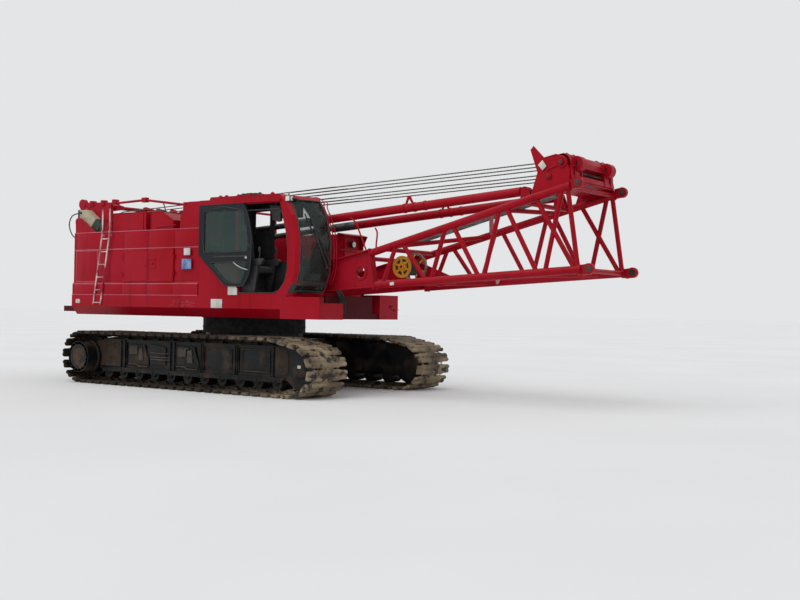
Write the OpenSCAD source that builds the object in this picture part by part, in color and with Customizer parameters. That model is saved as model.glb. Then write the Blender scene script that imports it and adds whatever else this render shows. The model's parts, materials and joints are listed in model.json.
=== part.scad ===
// Crawler crane without its counterweight: lower works, revolving upper and boom base section.
// Lengths in millimetres. +X forward along the boom, +Y to the left, +Z up, ground at z = 0.
// Tables of places are [x, z] in the upper's or the boom's own plane unless a comment says else.

/* [Crawlers] */
// Length over the shoes
track_length = 6990; // [6400:10:8000]
// How far the tracks' rear ends reach behind the slewing axis
track_rear = 3500; // [3300:10:4000]
// Height over the shoes at the idlers in front
idler_height = 980; // [900:10:1050]
// Slope of the upper run where it goes down to the idler
run_slope = 12; // [8:1:20]
// Height over the shoes
track_height = 1100; // [1000:10:1200]
// Distance between the middles of the two tracks
gauge = 3400; // [3200:20:3800]
// Width of a shoe
shoe_width = 1118; // [900:2:1200]
// Thickness of a shoe pad
shoe_thickness = 62; // [50:1:80]
// Number of shoes in one track
shoe_count = 60; // [52:2:64]
// Length of a shoe pad along the track
shoe_length = 182; // [150:1:215]
// Width of the link band that joins the pads
link_width = 420; // [300:10:500]
// Thickness of the link band
link_thickness = 58; // [45:1:70]
// Width of a track frame
frame_width = 430; // [380:10:520]
// Radius of a bottom roller
roller_radius = 122; // [100:1:140]
// Number of bottom rollers on a side
roller_count = 11; // [8:1:12]
// Distance between bottom rollers
roller_pitch = 480; // [440:5:500]
// Radius of the final drive's round cover
drive_cover_radius = 315; // [260:5:340]

/* [Carbody] */
// Half length of the middle box
carbody_half_length = 1080; // [900:10:1300]
// Top of the carbody's cross beams
beam_top = 940; // [880:10:1000]
// Top of the pedestal under the slewing ring
pedestal_top = 1180; // [1100:5:1220]
// Outer radius of the slewing ring
ring_radius = 960; // [860:10:1040]

/* [Revolving deck] */
// Underside of the deck
deck_bottom = 1440; // [1400:5:1480]
// Top of the deck and of its side ledges
deck_top = 1860; // [1800:5:1900]
// Half width of the deck
deck_half_width = 1650; // [1600:10:1750]
// Rear end of the deck, behind the slewing axis
deck_rear = 4000; // [3700:10:4300]
// Height of the deck's upright edge over the slant under it
deck_edge = 240; // [150:10:300]
// How far the deck's underside is set in from its edge
deck_slant = 150; // [80:10:200]
// How far the tail beam stands out behind the deck
tail_length = 470; // [300:10:600]
// Front end of the deck under the cab, before the slewing axis
deck_front = 3190; // [2900:10:3300]
// Front end of the deck on the left side
deck_front_left = 2600; // [2300:10:2900]

/* [Machinery house] */
// Top of the house
house_top = 3230; // [3000:10:3400]
// Thickness of the sheet walls with their folds
wall = 40; // [25:1:60]
// Inner side of each house, from the middle of the deck
house_inner = 960; // [900:10:1050]
// Outer side of each house
house_outer = 1600; // [1560:10:1620]
// How far the skirt under the service doors stands out
skirt_step = 40; // [20:1:50]
// Thickness of a service door
door_thickness = 20; // [15:1:30]
// Gap behind a service door
door_gap = 5.5; // [5:0.5:10]
// How far a door laps over the edge of its opening
door_lap = 25; // [15:1:40]

/* [Cab] */
// Outer side of the cab
cab_outer = 1640; // [1600:5:1720]
// Inner side of the cab, beside the boom
cab_inner = 962; // [950:1:1000]
// Top of the cab
cab_top = 3770; // [3600:10:3900]
// Thickness of the cab's walls
cab_wall = 46; // [35:1:60]
// How far the sliding door runs
door_travel = 960; // [800:10:980]

/* [Boom base] */
// Foot pin before the slewing axis
foot_x = 608; // [500:2:800]
// Foot pin above the ground
foot_z = 1901; // [1850:1:2000]
// Angle of the boom as it is parked
rest_angle = 8.82; // [6:0.01:12]
// Foot pin to end pins
boom_length = 7600; // [7000:10:8000]
// Half the height over the end pins
end_half_height = 715; // [600:5:800]
// Half the width over the chords' axes
chord_y = 845; // [800:5:880]
// Radius of a chord tube
chord_radius = 70; // [55:1:80]
// Radius of a lacing tube
brace_radius = 41; // [30:1:50]
// End of the plated butt, from the foot pin
butt_end = 3250; // [3000:10:3500]
// Radius of the pins' bores in the end lugs
lug_bore = 32.5; // [25:0.5:40]
// Radius of an end lug
lug_radius = 92; // [80:1:110]
// Thickness of an end lug
lug_thickness = 70; // [50:1:90]

/* [Backstops] */
// Sideways place of each backstop
backstop_y = 600; // [520:5:640]
// Radius of the outer tube
backstop_tube_radius = 82; // [70:1:95]
// Radius of the rod
backstop_rod_radius = 56; // [45:1:60]

/* [Gantry and ropes] */
// Sideways place of the gantry's side members
gantry_y = 1330; // [1200:10:1450]
// Radius of the suspension ropes
rope_radius = 11; // [8:0.5:14]
// Number of rope parts in each of the two layers
rope_count = 3; // [2:1:4]
// Distance between rope parts
rope_pitch = 370; // [100:10:370]
// Length of each half of the rope bundle
rope_half_length = 6400; // [6000:50:6800]
// Radius of the gantry's side rods
gantry_rod_radius = 26; // [20:1:40]

/* [Hidden] */
$fn = 40;
seat = 0.3;

red = [0.62, 0.08, 0.13];
dark_red = [0.36, 0.06, 0.09];
dirty_black = [0.13, 0.12, 0.12];
mud_steel = [0.40, 0.34, 0.28];
bare_steel = [0.66, 0.67, 0.68];
charcoal = [0.16, 0.17, 0.18];
reel_yellow = [0.85, 0.58, 0.12];
green_glass = [0.45, 0.58, 0.54, 0.6];

// Shift that puts the middle of the whole length at x = 0
lug_tip = foot_x + boom_length * cos(rest_angle) + end_half_height * sin(rest_angle) + lug_radius;
slew_x = (deck_rear + tail_length - lug_tip) / 2;

module placed() translate([slew_x, 0, 0]) children();
module both_sides() {
    children();
    mirror([0, 1, 0]) children();
}
module block(low, high) translate(low) cube(high - low);
// Plate in a plane of constant y, from y0 to y0 + thickness
module side_plate(y0, thickness) translate([0, y0 + thickness, 0]) rotate([90, 0, 0])
    linear_extrude(thickness) children();
// Round bar between two points
module rod(a, b, r) {
    d = b - a;
    translate(a) rotate([0, acos(d[2] / norm(d)), atan2(d[1], d[0])]) cylinder(h = norm(d), r = r);
}
// Round bar across the machine at [x, z]
module cross_bar(place, y0, y1, r) translate([place[0], y0, place[1]]) rotate([-90, 0, 0])
    cylinder(h = y1 - y0, r = r);

// Lower works

run_height = track_height / 2 - shoe_thickness / 2;
// Round the ends the pads' corners stay within the track's height
function turn_radius(height) = sqrt(pow(height / 2, 2) - pow(shoe_length / 2, 2)) - shoe_thickness / 2;
rear_x = track_height / 2 - track_rear;
front_x = track_length - track_rear - idler_height / 2;
idler_drop = (track_height - idler_height) / 2;
rear_turn = turn_radius(track_height);
front_turn = turn_radius(idler_height);
// Where the sloping run leaves the turn round the idler, for a turn of that radius
function slope_foot(r) = [front_x + r * sin(run_slope), r * cos(run_slope) - idler_drop];
// Where it meets the level run at that height over the wheels' middle
function slope_head(r, level) = slope_foot(r)[0] - (level - slope_foot(r)[1]) / tan(run_slope);
front_arc = 180 - run_slope;
break_x = slope_head(front_turn, run_height);
loop_ends = [for (total = 0, i = 0, parts = [front_x - rear_x, PI * front_turn * front_arc / 180,
        (slope_foot(front_turn)[0] - break_x) / cos(run_slope), break_x - rear_x, PI * rear_turn];
    i <= len(parts); total = total + (i < len(parts) ? parts[i] : 0), i = i + 1) total];
shoe_pitch = loop_ends[5] / shoe_count;
// Place of the point s along the loop: [x, z, heading], from the bottom's rear end
function loop_place(s) =
    s < loop_ends[1] ? [rear_x + s, -run_height, 0]
    : s < loop_ends[2]
        ? let (a = 180 * (s - loop_ends[1]) / (PI * front_turn))
            [front_x + front_turn * sin(a), -idler_drop - front_turn * cos(a), a]
    : s < loop_ends[3]
        ? slope_foot_place(s - loop_ends[2])
    : s < loop_ends[4] ? [break_x - (s - loop_ends[3]), run_height, 180]
    : let (a = 180 * (s - loop_ends[4]) / (PI * rear_turn))
        [rear_x - rear_turn * sin(a), rear_turn * cos(a), 180 + a];
function slope_foot_place(d) = let (foot = slope_foot(front_turn))
    [foot[0] - d * cos(run_slope), foot[1] + d * sin(run_slope), front_arc];

module loop_outline(r) {
    front = r - idler_drop;
    polygon([[rear_x, -r], [front_x, -r], [front_x, -idler_drop], slope_foot(front),
        [slope_head(front, r), r], [rear_x, r]]);
    translate([rear_x, 0]) circle(r);
    translate([front_x, -idler_drop]) circle(front);
}
link_outer = track_height / 2 - shoe_thickness;
link_inner = link_outer - link_thickness;

module track(side) placed() translate([0, side * gauge / 2, track_height / 2]) {
    for (i = [0:shoe_count - 1]) {
        place = loop_place((i + 0.5) * shoe_pitch);
        translate([place[0], 0, place[1]]) rotate([0, -place[2], 0])
            cube([shoe_length, shoe_width, shoe_thickness], center = true);
    }
    difference() {
        side_plate(-link_width / 2, link_width) loop_outline(link_outer + shoe_thickness / 2);
        side_plate(-link_width, 2 * link_width) loop_outline(link_inner);
    }
}
module track_right() color(mud_steel) track(-1);
module track_left() color(mud_steel) track(1);

frame_bottom = 330;
frame_top = 940;
wheel_z = track_height / 2;
wheel_width = 190;
wheel_hub = 120;
// Drive tumblers behind and idlers in front: [x, z, radius]
wheels = [[rear_x, wheel_z, link_inner - seat], [front_x, wheel_z - idler_drop, link_inner - idler_drop - seat]];
frame_end_radius = 150;
cheek_radius = wheels[1][2] - 15;
cheek_gap = wheel_width / 2 + 10;
roller_width = frame_width - 60;
roller_z = wheel_z - link_inner + roller_radius + seat;
roller_places = [for (i = [0:roller_count - 1]) (i - (roller_count - 1) / 2) * roller_pitch];
// Recesses in a frame's outer side: [rear x, front x]
frame_recesses = [[-2770, -1930], [-1810, -500], [-380, 370], [490, 1310], [1430, 2300]];
recess_depth = 25;

module cross_bar_at(x, z, width, r) translate([x, 0, z]) rotate([90, 0, 0])
    cylinder(h = width, r = r, center = true);
// Outline of a track frame: its ends hold the wheels between cheeks
module frame_outline() {
    top_x = slope_head(cheek_radius, frame_top - wheel_z);
    foot = slope_foot(cheek_radius);
    polygon([[rear_x, 400], [rear_x + 410, frame_bottom], [front_x, frame_bottom],
        [foot[0], wheel_z + foot[1]], [top_x, frame_top], [rear_x + 460, frame_top], [rear_x, 700]]);
    translate([rear_x, wheel_z]) circle(frame_end_radius);
    translate([front_x, wheel_z - idler_drop]) circle(cheek_radius);
}
module track_frame() translate([0, gauge / 2, 0]) difference() {
    side_plate(-frame_width / 2, frame_width) frame_outline();
    for (wheel = wheels) side_plate(-cheek_gap, 2 * cheek_gap)
        translate([wheel[0], wheel[1]]) circle(wheel[2] + 15);
    for (recess = frame_recesses) block([recess[0], frame_width / 2 - recess_depth, 400],
        [recess[1], frame_width / 2 + 1, 880]);
    for (x = roller_places) cross_bar_at(x, roller_z, roller_width + 2 * seat, roller_radius + 12);
}
module track_frames() color(dirty_black) placed() both_sides() track_frame();

// Bottom rollers, idler in front, and behind it the drive tumbler with its final drive
module side_gear() translate([0, gauge / 2, 0]) {
    for (x = roller_places) cross_bar_at(x, roller_z, roller_width, roller_radius);
    for (wheel = wheels) {
        cross_bar_at(wheel[0], wheel[1], wheel_width, wheel[2]);
        cross_bar_at(wheel[0], wheel[1], 2 * cheek_gap - 2 * seat, wheel_hub);
    }
    translate([rear_x, frame_width / 2 + seat, wheel_z]) rotate([-90, 0, 0])
        cylinder(h = shoe_width / 2 - frame_width / 2 - seat, r = drive_cover_radius);
}
module running_gear() color(dirty_black) placed() both_sides() side_gear();

beam_half = 250;
beam_bottom = 440;
box_top = beam_top + 60;
box_half_width = 1060;
// Cross beams, the box between them, the plate over them and the pedestal
module carbody() color(dirty_black) placed() {
    beam_reach = gauge / 2 - frame_width / 2 - seat;
    beam_x = carbody_half_length - beam_half - 10;
    for (end = [-1, 1]) block([end * beam_x - beam_half, -beam_reach, beam_bottom],
        [end * beam_x + beam_half, beam_reach, beam_top]);
    block([-beam_x + beam_half + seat, -box_half_width, beam_bottom + 120],
        [beam_x - beam_half - seat, box_half_width, beam_top]);
    block([-carbody_half_length, -box_half_width, beam_top + seat],
        [carbody_half_length, box_half_width, box_top]);
    translate([0, 0, box_top + seat])
        cylinder(h = pedestal_top - box_top - 2 * seat, r = ring_radius + 60);
}
ring_height = 130;
module slew_ring() color(bare_steel) placed() translate([0, 0, pedestal_top]) difference() {
    cylinder(h = ring_height, r = ring_radius);
    translate([0, 0, -1]) cylinder(h = ring_height + 2, r = ring_radius - 180);
}

// Revolving upper

ring_top = pedestal_top + ring_height + seat;
bed_top = deck_bottom + 120;
foot_pin_radius = 50;
foot_plate_gap = 45;
foot_plate = 30;
tail_top = 1620;
tail_bottom = 1500;
tail_half = 1500;
front_plate_half = 740;
// Machinery bed between the houses, on the slewing ring, with the boom's foot brackets
module deck_bed() color(red) placed() {
    bed_front = deck_front_left - 30;
    block([-deck_rear, -house_inner + seat, deck_bottom], [bed_front, house_inner - seat, bed_top]);
    translate([0, 0, ring_top]) cylinder(h = deck_bottom - ring_top + 1, r = house_inner - 10);
    both_sides() {
        for (y = [chord_y - foot_plate_gap - foot_plate, chord_y + foot_plate_gap])
            side_plate(y, foot_plate) {
                translate([foot_x, foot_z]) circle(120);
                polygon([[foot_x - 260, bed_top - 10], [foot_x + 260, bed_top - 10],
                    [foot_x + 116, foot_z + 30], [foot_x - 116, foot_z + 30]]);
            }
        cross_bar([foot_x, foot_z], chord_y - 60, chord_y + 60, foot_pin_radius);
    }
    block([bed_front - 30, -front_plate_half, bed_top - 1], [bed_front, front_plate_half, foot_z]);
    // tail beam that carries the counterweight, on a tongue of the bed
    block([-deck_rear - tail_length, -tail_half, tail_bottom], [-deck_rear - seat, tail_half, tail_top]);
    block([-deck_rear - 10, -house_inner + 40, tail_bottom], [-deck_rear + 10, house_inner - 40, bed_top]);
}
// Long sheet of constant section: the section's points are [distance from the middle, z]
module along(x0, x1) translate([x0, 0, 0]) rotate([90, 0, 90]) linear_extrude(x1 - x0) children();
module deck_side(rear, front) along(rear, front) polygon([[house_inner, deck_bottom],
    [deck_half_width - deck_slant, deck_bottom], [deck_half_width, deck_top - deck_edge],
    [deck_half_width, deck_top], [house_inner, deck_top]]);
deck_step_x = 2220;
cab_step_x = 2720;
fascia_top = 1745;
module deck_right() color(red) placed() mirror([0, 1, 0]) {
    deck_side(-deck_rear, deck_step_x);
    block([deck_step_x + seat, house_inner, deck_bottom], [deck_front, deck_half_width, fascia_top]);
    block([deck_step_x + seat, house_inner, fascia_top + seat], [cab_step_x, deck_half_width, deck_top]);
    block([cab_step_x + seat, deck_half_width - 15, fascia_top + seat],
        [deck_front, deck_half_width, deck_top - 5]);
}
module deck_left() color(red) placed() {
    deck_side(-deck_rear, deck_front_left - 500);
    block([deck_front_left - 500 + seat, house_inner, deck_bottom],
        [deck_front_left, deck_half_width - 60, deck_top + 80]);
}

// Service doors: [rear x, front x], the rear one first
door_spans = [[-2330, -1550], [-1550, -760]];
door_low = 2150;
door_high = 2840;
hinge_heights = [2300, 2640];
hinge_radius = 12;
hinge_reach = 15;
barrel = 60;
bracket = 30;
skirt_top = door_low + door_lap;
band_low = door_high - door_lap;
// Hinge line of a door: [x, distance from the middle plane]
function hinge_line(i) = [i == 1 ? door_spans[i][1] - 3 + hinge_reach : door_spans[i][0] + 3 - hinge_reach,
    house_outer + door_gap + door_thickness];
module scale_side(side) mirror([0, side < 0 ? 1 : 0, 0]) children();
// A house of folded sheets: roof, inner wall, end walls, skirt, band over the doors and posts
module house(rear, front, side) placed() scale_side(side) {
    under_roof = house_top - wall - seat;
    along(rear, front) polygon([[house_inner, house_top - wall], [house_outer, house_top - wall],
        [house_outer - 35, house_top], [house_inner, house_top]]);
    block([rear, house_inner, deck_top + seat], [front, house_inner + wall, under_roof]);
    for (x = [rear, front - wall]) block([x, house_inner + wall + seat, deck_top + seat],
        [x + wall, house_outer - wall - seat, under_roof]);
    along(rear, front) polygon([[house_outer - wall, deck_top + seat],
        [house_outer + skirt_step, deck_top + seat], [house_outer + skirt_step, skirt_top - 70],
        [house_outer, skirt_top - 30], [house_outer, skirt_top], [house_outer - wall, skirt_top]]);
    block([rear, house_outer - wall, band_low], [front, house_outer, under_roof]);
    middle = door_spans[0][1];
    for (post = [[rear, door_spans[0][0] + door_lap], [middle - door_lap, middle + door_lap],
            [door_spans[1][1] - door_lap, front]])
        block([post[0], house_outer - wall, skirt_top + seat], [post[1], house_outer, band_low - seat]);
    // hinge brackets under the doors' barrels
    for (i = [0, 1], z = hinge_heights) {
        place = hinge_line(i);
        translate([place[0], place[1], z - bracket - seat]) cylinder(h = bracket, r = hinge_radius);
        block([place[0] - hinge_radius, house_outer + seat, z - bracket - seat],
            [place[0] + hinge_radius, place[1], z - seat]);
    }
}
house_front_right = -20;
house_front_left = 1650;
// Right house with its two roof hoods and the stack behind the cab
module house_right() color(red) {
    house(-deck_rear, house_front_right, -1);
    placed() translate([0, 0, house_top + seat]) {
        side_plate(-1560, 560) polygon([[-3050, 0], [-3050, 120], [-2800, 390], [-1690, 390], [-1690, 0]]);
        side_plate(-1560, 420) polygon([[-1540, 0], [-1540, 390], [-1160, 360], [-850, 190], [-850, 0]]);
        side_plate(-house_outer, 600) polygon([[-620, 0], [-600, 250], [-390, cab_top - house_top],
            [house_front_right, cab_top - house_top], [house_front_right, 0]]);
    }
}
module house_left() color(red) house(-deck_rear, house_front_left, 1);

module service_door(i, side) placed() scale_side(side) {
    span = door_spans[i];
    place = hinge_line(i);
    leaf = i == 1 ? -60 : 60;
    low = house_outer + door_gap;
    difference() {
        block([span[0] + 3, low, door_low], [span[1] - 3, low + door_thickness, door_high]);
        for (z = hinge_heights) block([place[0] - 30, low - 1, z - bracket - 5],
            [place[0] + 30, low + door_thickness + 1, z + barrel + 5]);
    }
    for (z = hinge_heights) {
        translate([place[0], place[1], z]) cylinder(h = barrel, r = hinge_radius);
        block([min(place[0], place[0] + leaf), low + door_thickness - 8, z],
            [max(place[0], place[0] + leaf), low + door_thickness, z + barrel]);
    }
}
module door_right_front() color(red) service_door(1, -1);
module door_right_rear() color(red) service_door(0, -1);
module door_left_front() color(red) service_door(1, 1);
module door_left_rear() color(red) service_door(0, 1);

module engine() color(charcoal) placed()
    block([-2900, -house_outer + 210, deck_top + 2 * seat], [-1100, -house_inner - wall - 20, 2900]);

gantry_peak = [-4060, 3900];
gantry_joint = [-2000, 3905];
gantry_front = [-735, 3745];
joint_half = [70, 45, 50];
mast_front = -3080;
peak_radius = 110;
// Axle of the rope sheaves between the mast plates
gantry_axle = [-3900, 3690];
peak_bar = 45;
sheave_radius = 95;
sheave_half = 420;
// Hook plates on the peak bar: distance from the middle plane
hook_plates = [830, 440];
hook_thickness = 30;
module gantry_side() {
    side_plate(gantry_y - 35, 70) polygon([[-4140, 3810], [-4120, 3940], [mast_front, 3900],
        [mast_front, house_top + seat], [-3760, house_top + seat]]);
    side_plate(gantry_y - 45, 90) translate(gantry_peak) circle(peak_radius);
}
module gantry_rod(a, b) rod([a[0], gantry_y, a[1]], [b[0], gantry_y, b[1]], gantry_rod_radius);
// Mast plates on the roofs, the rods before them with their joint blocks, and the peak bar
module gantry_frame() color(red) placed() {
    both_sides() {
        gantry_side();
        difference() {
            union() {
                gantry_rod([mast_front - 50, 3871], gantry_joint);
                gantry_rod(gantry_joint, gantry_front);
            }
            block([mast_front - 200, gantry_y - 100, 3700], [mast_front + seat, gantry_y + 100, 4000]);
            translate([gantry_joint[0], gantry_y, gantry_joint[1]])
                cube(2 * (joint_half + [seat, seat, seat]), center = true);
        }
        translate([gantry_joint[0], gantry_y, gantry_joint[1]]) cube(2 * joint_half, center = true);
        difference() {
            side_plate(gantry_y - 40, 80) polygon([[-775, 3800], [-805, house_top + seat],
                [-665, house_top + seat], [-695, 3800]]);
            past = gantry_joint + 1.1 * (gantry_front - gantry_joint);
            rod([gantry_joint[0], gantry_y, gantry_joint[1]], [past[0], gantry_y, past[1]],
                gantry_rod_radius + seat);
        }
        difference() {
            for (y = hook_plates) side_plate(y, hook_thickness) translate(gantry_peak)
                polygon([[-95, -30], [-60, -80], [330, -60], [300, 20], [40, 90], [-50, 85], [-95, 40]]);
            cross_bar(gantry_peak, 0, gantry_y, peak_bar + seat);
        }
        // rear lug plate on the roof
        side_plate(house_outer - 55, 40) {
            polygon([[-3990, house_top + seat], [-4000, 3480], [-3920, 3570], [-3840, 3560],
                [-3300, house_top + seat]]);
            translate([-3920, 3480]) circle(90);
        }
    }
    cross_bar(gantry_peak, -gantry_y + 45 + seat, gantry_y - 45 - seat, peak_bar);
    cross_bar(gantry_axle, -gantry_y + 35 + seat, gantry_y - 35 - seat, peak_bar);
}
module gantry_sheaves() color(charcoal) placed() difference() {
    cross_bar(gantry_axle, -sheave_half, sheave_half, sheave_radius);
    cross_bar(gantry_axle, -sheave_half - 1, sheave_half + 1, peak_bar + seat);
}
// Raising cylinders in box housings outside the mast plates
module raising_cylinders() color(bare_steel) placed() both_sides()
    side_plate(-gantry_y - 35 - seat - 150, 150) polygon([[-4000, 3480], [-4000, 3750], [-3720, 3750],
        [-3210, 3400], [-3210, house_top + seat], [-3420, house_top + seat], [-3720, 3480]]);

backstop_pivot = [-750, 3140];
module backstop_brackets() both_sides() {
    for (side = [-1, 1]) {
        side_plate(backstop_y + (side < 0 ? -92 : 62), 30) {
            translate(backstop_pivot) circle(90);
            polygon([[backstop_pivot[0] - 250, bed_top + seat], [backstop_pivot[0] + 250, bed_top + seat],
                [backstop_pivot[0] + 88, backstop_pivot[1]], [backstop_pivot[0] - 88, backstop_pivot[1]]]);
        }
    }
}

// Cab

// Front outline at the boom's side, from the floor up: [x, z]
cab_front = [[2660, deck_top + seat], [2800, 2080], [2880, 2300], [2905, 2900], [2790, 3400],
    [2600, 3700], [2520, cab_top]];
// How far the front stands back across the cab: [distance from the middle plane, setback]
cab_bulge = [[cab_outer, 330], [cab_outer - 70, 200], [cab_outer - 200, 95], [cab_outer - 420, 20],
    [cab_inner, 0]];
// Solid cab with its front moved back by the inset
module cab_form(inset) hull() for (row = cab_bulge) side_plate(-row[0] - (row[0] == cab_inner ? 1 : 0), 1)
    polygon(concat([[0, cab_top], [0, deck_top + seat]],
        [for (place = cab_front) [place[0] - row[1] - inset, place[1]]]));
door_front = 1290;
door_bottom = 2050;
door_top = 3670;
door_rear = 30;
doorway = [[1100, 2050], [1130, 1930], [2060, 1930], [2200, 2010], [2310, 2140], [2370, 2350],
    [2385, 2740], [2330, 3100], [2230, 3440], [2160, door_top - 20], [1100, door_top - 20]];
side_window = [[200, 2720], [1000, 2720], [1000, 3550], [200, 3550]];
screen_low = 2130;
screen_high = 3690;
low_screen = [1960, 2085];
screen_rear = 1900;
cab_floor = deck_top + 60;
module cab_body() difference() {
    cab_form(0);
    intersection() {
        cab_form(cab_wall);
        block([cab_wall, -cab_outer + cab_wall, cab_floor],
            [3000, -cab_inner - cab_wall, cab_top - cab_wall]);
    }
    for (level = [[screen_low, screen_high], low_screen])
        block([screen_rear, -cab_outer + cab_wall, level[0]], [3000, -cab_inner - cab_wall, level[1]]);
    side_plate(-cab_outer - 1, cab_wall + 2) {
        polygon(doorway);
        polygon(side_window);
    }
    // windows beside the boom and behind
    side_plate(-cab_inner - cab_wall - 1, cab_wall + 2)
        polygon([[300, 2500], [2350, 2500], [2560, 2900], [2420, 3350], [2200, 3600], [300, 3600]]);
    block([-1, -cab_outer + 140, 2900], [cab_wall + 1, -cab_inner - 140, 3550]);
}
module cab_shell() color(red) placed() {
    cab_body();
    // raised roof panel
    side_plate(-cab_outer + 110, cab_outer - cab_inner - 190)
        polygon([[150, cab_top - 1], [190, cab_top + 70], [2020, cab_top + 60], [2160, cab_top - 1]]);
    // rails over and under the sliding door
    block([door_rear, -cab_outer - 41, door_top + seat],
        [door_front + door_travel - 60, -cab_outer + 1, door_top + 30]);
    block([door_front - 200, -cab_outer - 41, door_bottom - 30],
        [door_front - 180, -cab_outer + 1, door_bottom - seat]);
}
glass = 8;
module cab_glass() color(green_glass) placed() intersection() {
    difference() {
        cab_form(10);
        cab_form(10 + glass);
    }
    for (level = [[screen_low, screen_high], low_screen])
        block([screen_rear, -cab_outer + cab_wall + seat, level[0] + seat],
            [3000, -cab_inner - cab_wall - seat, level[1] - seat]);
}
seat_rear = 900;
// Seat on its base, with the console beside it
module cab_interior() color(charcoal) placed() {
    block([seat_rear, -1520, cab_floor + seat], [seat_rear + 560, -1080, 2340]);
    side_plate(-1530, 460) polygon([[seat_rear + 30, 2340], [seat_rear + 620, 2340],
        [seat_rear + 630, 2440], [seat_rear + 180, 2420], [seat_rear + 60, 3080], [seat_rear - 70, 3080]]);
    side_plate(-1070, 50) polygon([[seat_rear + 150, cab_floor + seat], [seat_rear + 650, cab_floor + seat],
        [seat_rear + 750, 2620], [seat_rear + 150, 2560]]);
}
door_outline = [[door_rear, 2680], [640, 2170], [760, 2080], [860, door_bottom], [door_front, door_bottom],
    [1400, 2230], [1450, 2400], [1475, 2650], [1470, 3060], [1400, 3350], [1340, 3520],
    [1250, door_top], [door_rear, door_top]];
// Panes of the door: upper and lower
door_panes = [[[190, 2730], [1370, 2730], [1390, 2920], [1370, 3080], [1225, 3540], [190, 3540]],
    [[430, 2530], [1350, 2530], [1340, 2420], [1230, 2115], [880, 2115], [790, 2150], [400, 2490]]];
pane_radius = 45;
module door_windows() for (pane = door_panes)
    offset(r = pane_radius) offset(delta = -pane_radius) polygon(pane);
module cab_door() color(charcoal) placed() side_plate(-cab_outer - 45, 36) difference() {
    polygon(door_outline);
    door_windows();
}
module cab_door_glass() color(green_glass) placed() side_plate(-cab_outer - 32, glass) door_windows();

ladder_y = deck_half_width + 16 + seat;
ladder_foot = -3240;
ladder_lean = 270;
ladder_width = 240;
ladder_top = house_top + 490;
rung_pitch = 275;
// Ladder up the right house; its rails go on over the roof as hand rails
module ladder() color(red) placed() {
    for (x = [ladder_foot, ladder_foot + ladder_width]) {
        rod([x, -ladder_y, deck_top - 200], [x + ladder_lean, -ladder_y, house_top], 16);
        translate([x + ladder_lean, -ladder_y, house_top]) {
            cube(44, center = true);
            cylinder(h = ladder_top - house_top, r = 16);
        }
        block([x + ladder_lean - 10, -ladder_y, house_top - 90],
            [x + ladder_lean + 10, -house_outer - seat, house_top - 60]);
    }
    for (i = [0:5]) {
        t = (i * rung_pitch + 40) / (house_top - deck_top + 200);
        z = deck_top - 200 + t * (house_top - deck_top + 200);
        rod([ladder_foot + t * ladder_lean, -ladder_y, z],
            [ladder_foot + ladder_width + t * ladder_lean, -ladder_y, z], 11);
    }
}

// Winches

drum_table = [["front", -1250, 2250], ["rear", -2250, 2250], ["boom", -3300, 2200]];
drum_radius = 330;
flange_radius = 430;
drum_half = 430;
axle_radius = 60;
module drum(place) {
    cross_bar(place, -drum_half, drum_half, drum_radius);
    for (y = [-drum_half, drum_half - 30]) cross_bar(place, y, y + 30, flange_radius);
    cross_bar(place, -drum_half - 60, drum_half + 60, axle_radius);
}
module upper_brackets() color(dark_red) placed() {
    both_sides() difference() {
        for (row = drum_table) side_plate(drum_half + 20, 30)
            polygon([[row[1] - 420, bed_top + seat], [row[1] + 420, bed_top + seat],
                [row[1] + 120, row[2] + 160], [row[1] - 120, row[2] + 160]]);
        for (row = drum_table) cross_bar([row[1], row[2]], drum_half, drum_half + 100, axle_radius + seat);
    }
    backstop_brackets();
}
module drum_front() color(mud_steel) placed() drum([drum_table[0][1], drum_table[0][2]]);
module drum_rear() color(mud_steel) placed() drum([drum_table[1][1], drum_table[1][2]]);
module drum_boom_hoist() color(mud_steel) placed() drum([drum_table[2][1], drum_table[2][2]]);

// Boom base section, in its own frame: foot pin at 0, x along the boom

module on_boom() placed() translate([foot_x, 0, foot_z]) rotate([0, -rest_angle, 0]) children();
function chord_z(x) = x * end_half_height / boom_length;
// Place along the boom of a distance past the butt's end, as drawn for 4350 to the end pins
function lace_x(d) = butt_end + d * (boom_length - butt_end) / 4350;
chord_end = boom_length - 130;

butt_ring = [2945, -13];
butt_web = [[0, -70], [500, -105], [butt_end, -345], [butt_end, 375], [2320, 322], [500, 160], [0, 80]];
flange = 24;
flange_start = 310;
// Flat flange along an edge of the butt's web, from a to b
module edge_flange(a, b) side_plate(chord_y - 75, 150)
    polygon([a, b, b + [0, b[1] > 0 ? -flange : flange], a + [0, a[1] > 0 ? -flange : flange]]);
module butt_half() difference() {
    union() {
        side_plate(chord_y - 15, 30) polygon(butt_web);
        edge_flange([flange_start, 130], [500, 160]);
        edge_flange([500, 160], [2320, 322]);
        edge_flange([2320, 322], [butt_end, 375]);
        edge_flange([flange_start, -92], [500, -105]);
        edge_flange([500, -105], [butt_end, -345]);
        block([butt_end - 30, chord_y - 78, -384], [butt_end, chord_y + 78, 384]);
        cross_bar([0, 0], chord_y - 28, chord_y + 28, 100);
        cross_bar(butt_ring, chord_y - 32, chord_y + 32, 150);
    }
    cross_bar([0, 0], chord_y - 60, chord_y + 60, foot_pin_radius + seat);
    cross_bar(butt_ring, chord_y - 60, chord_y + 60, 105);
}
module boom_butts() color(red) on_boom() both_sides() butt_half();
tie_reach = chord_y - 15 - seat;
module boom_butt_ties() color(red) on_boom() {
    cross_bar([1000, 0], -tie_reach, tie_reach, 80);
    for (s = [-1, 1]) cross_bar([butt_end - 120, s * 215], -tie_reach, tie_reach, brace_radius);
}
module chord(side, level, r, x0, x1)
    rod([x0, side * chord_y, level * chord_z(x0)], [x1, side * chord_y, level * chord_z(x1)], r);
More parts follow.
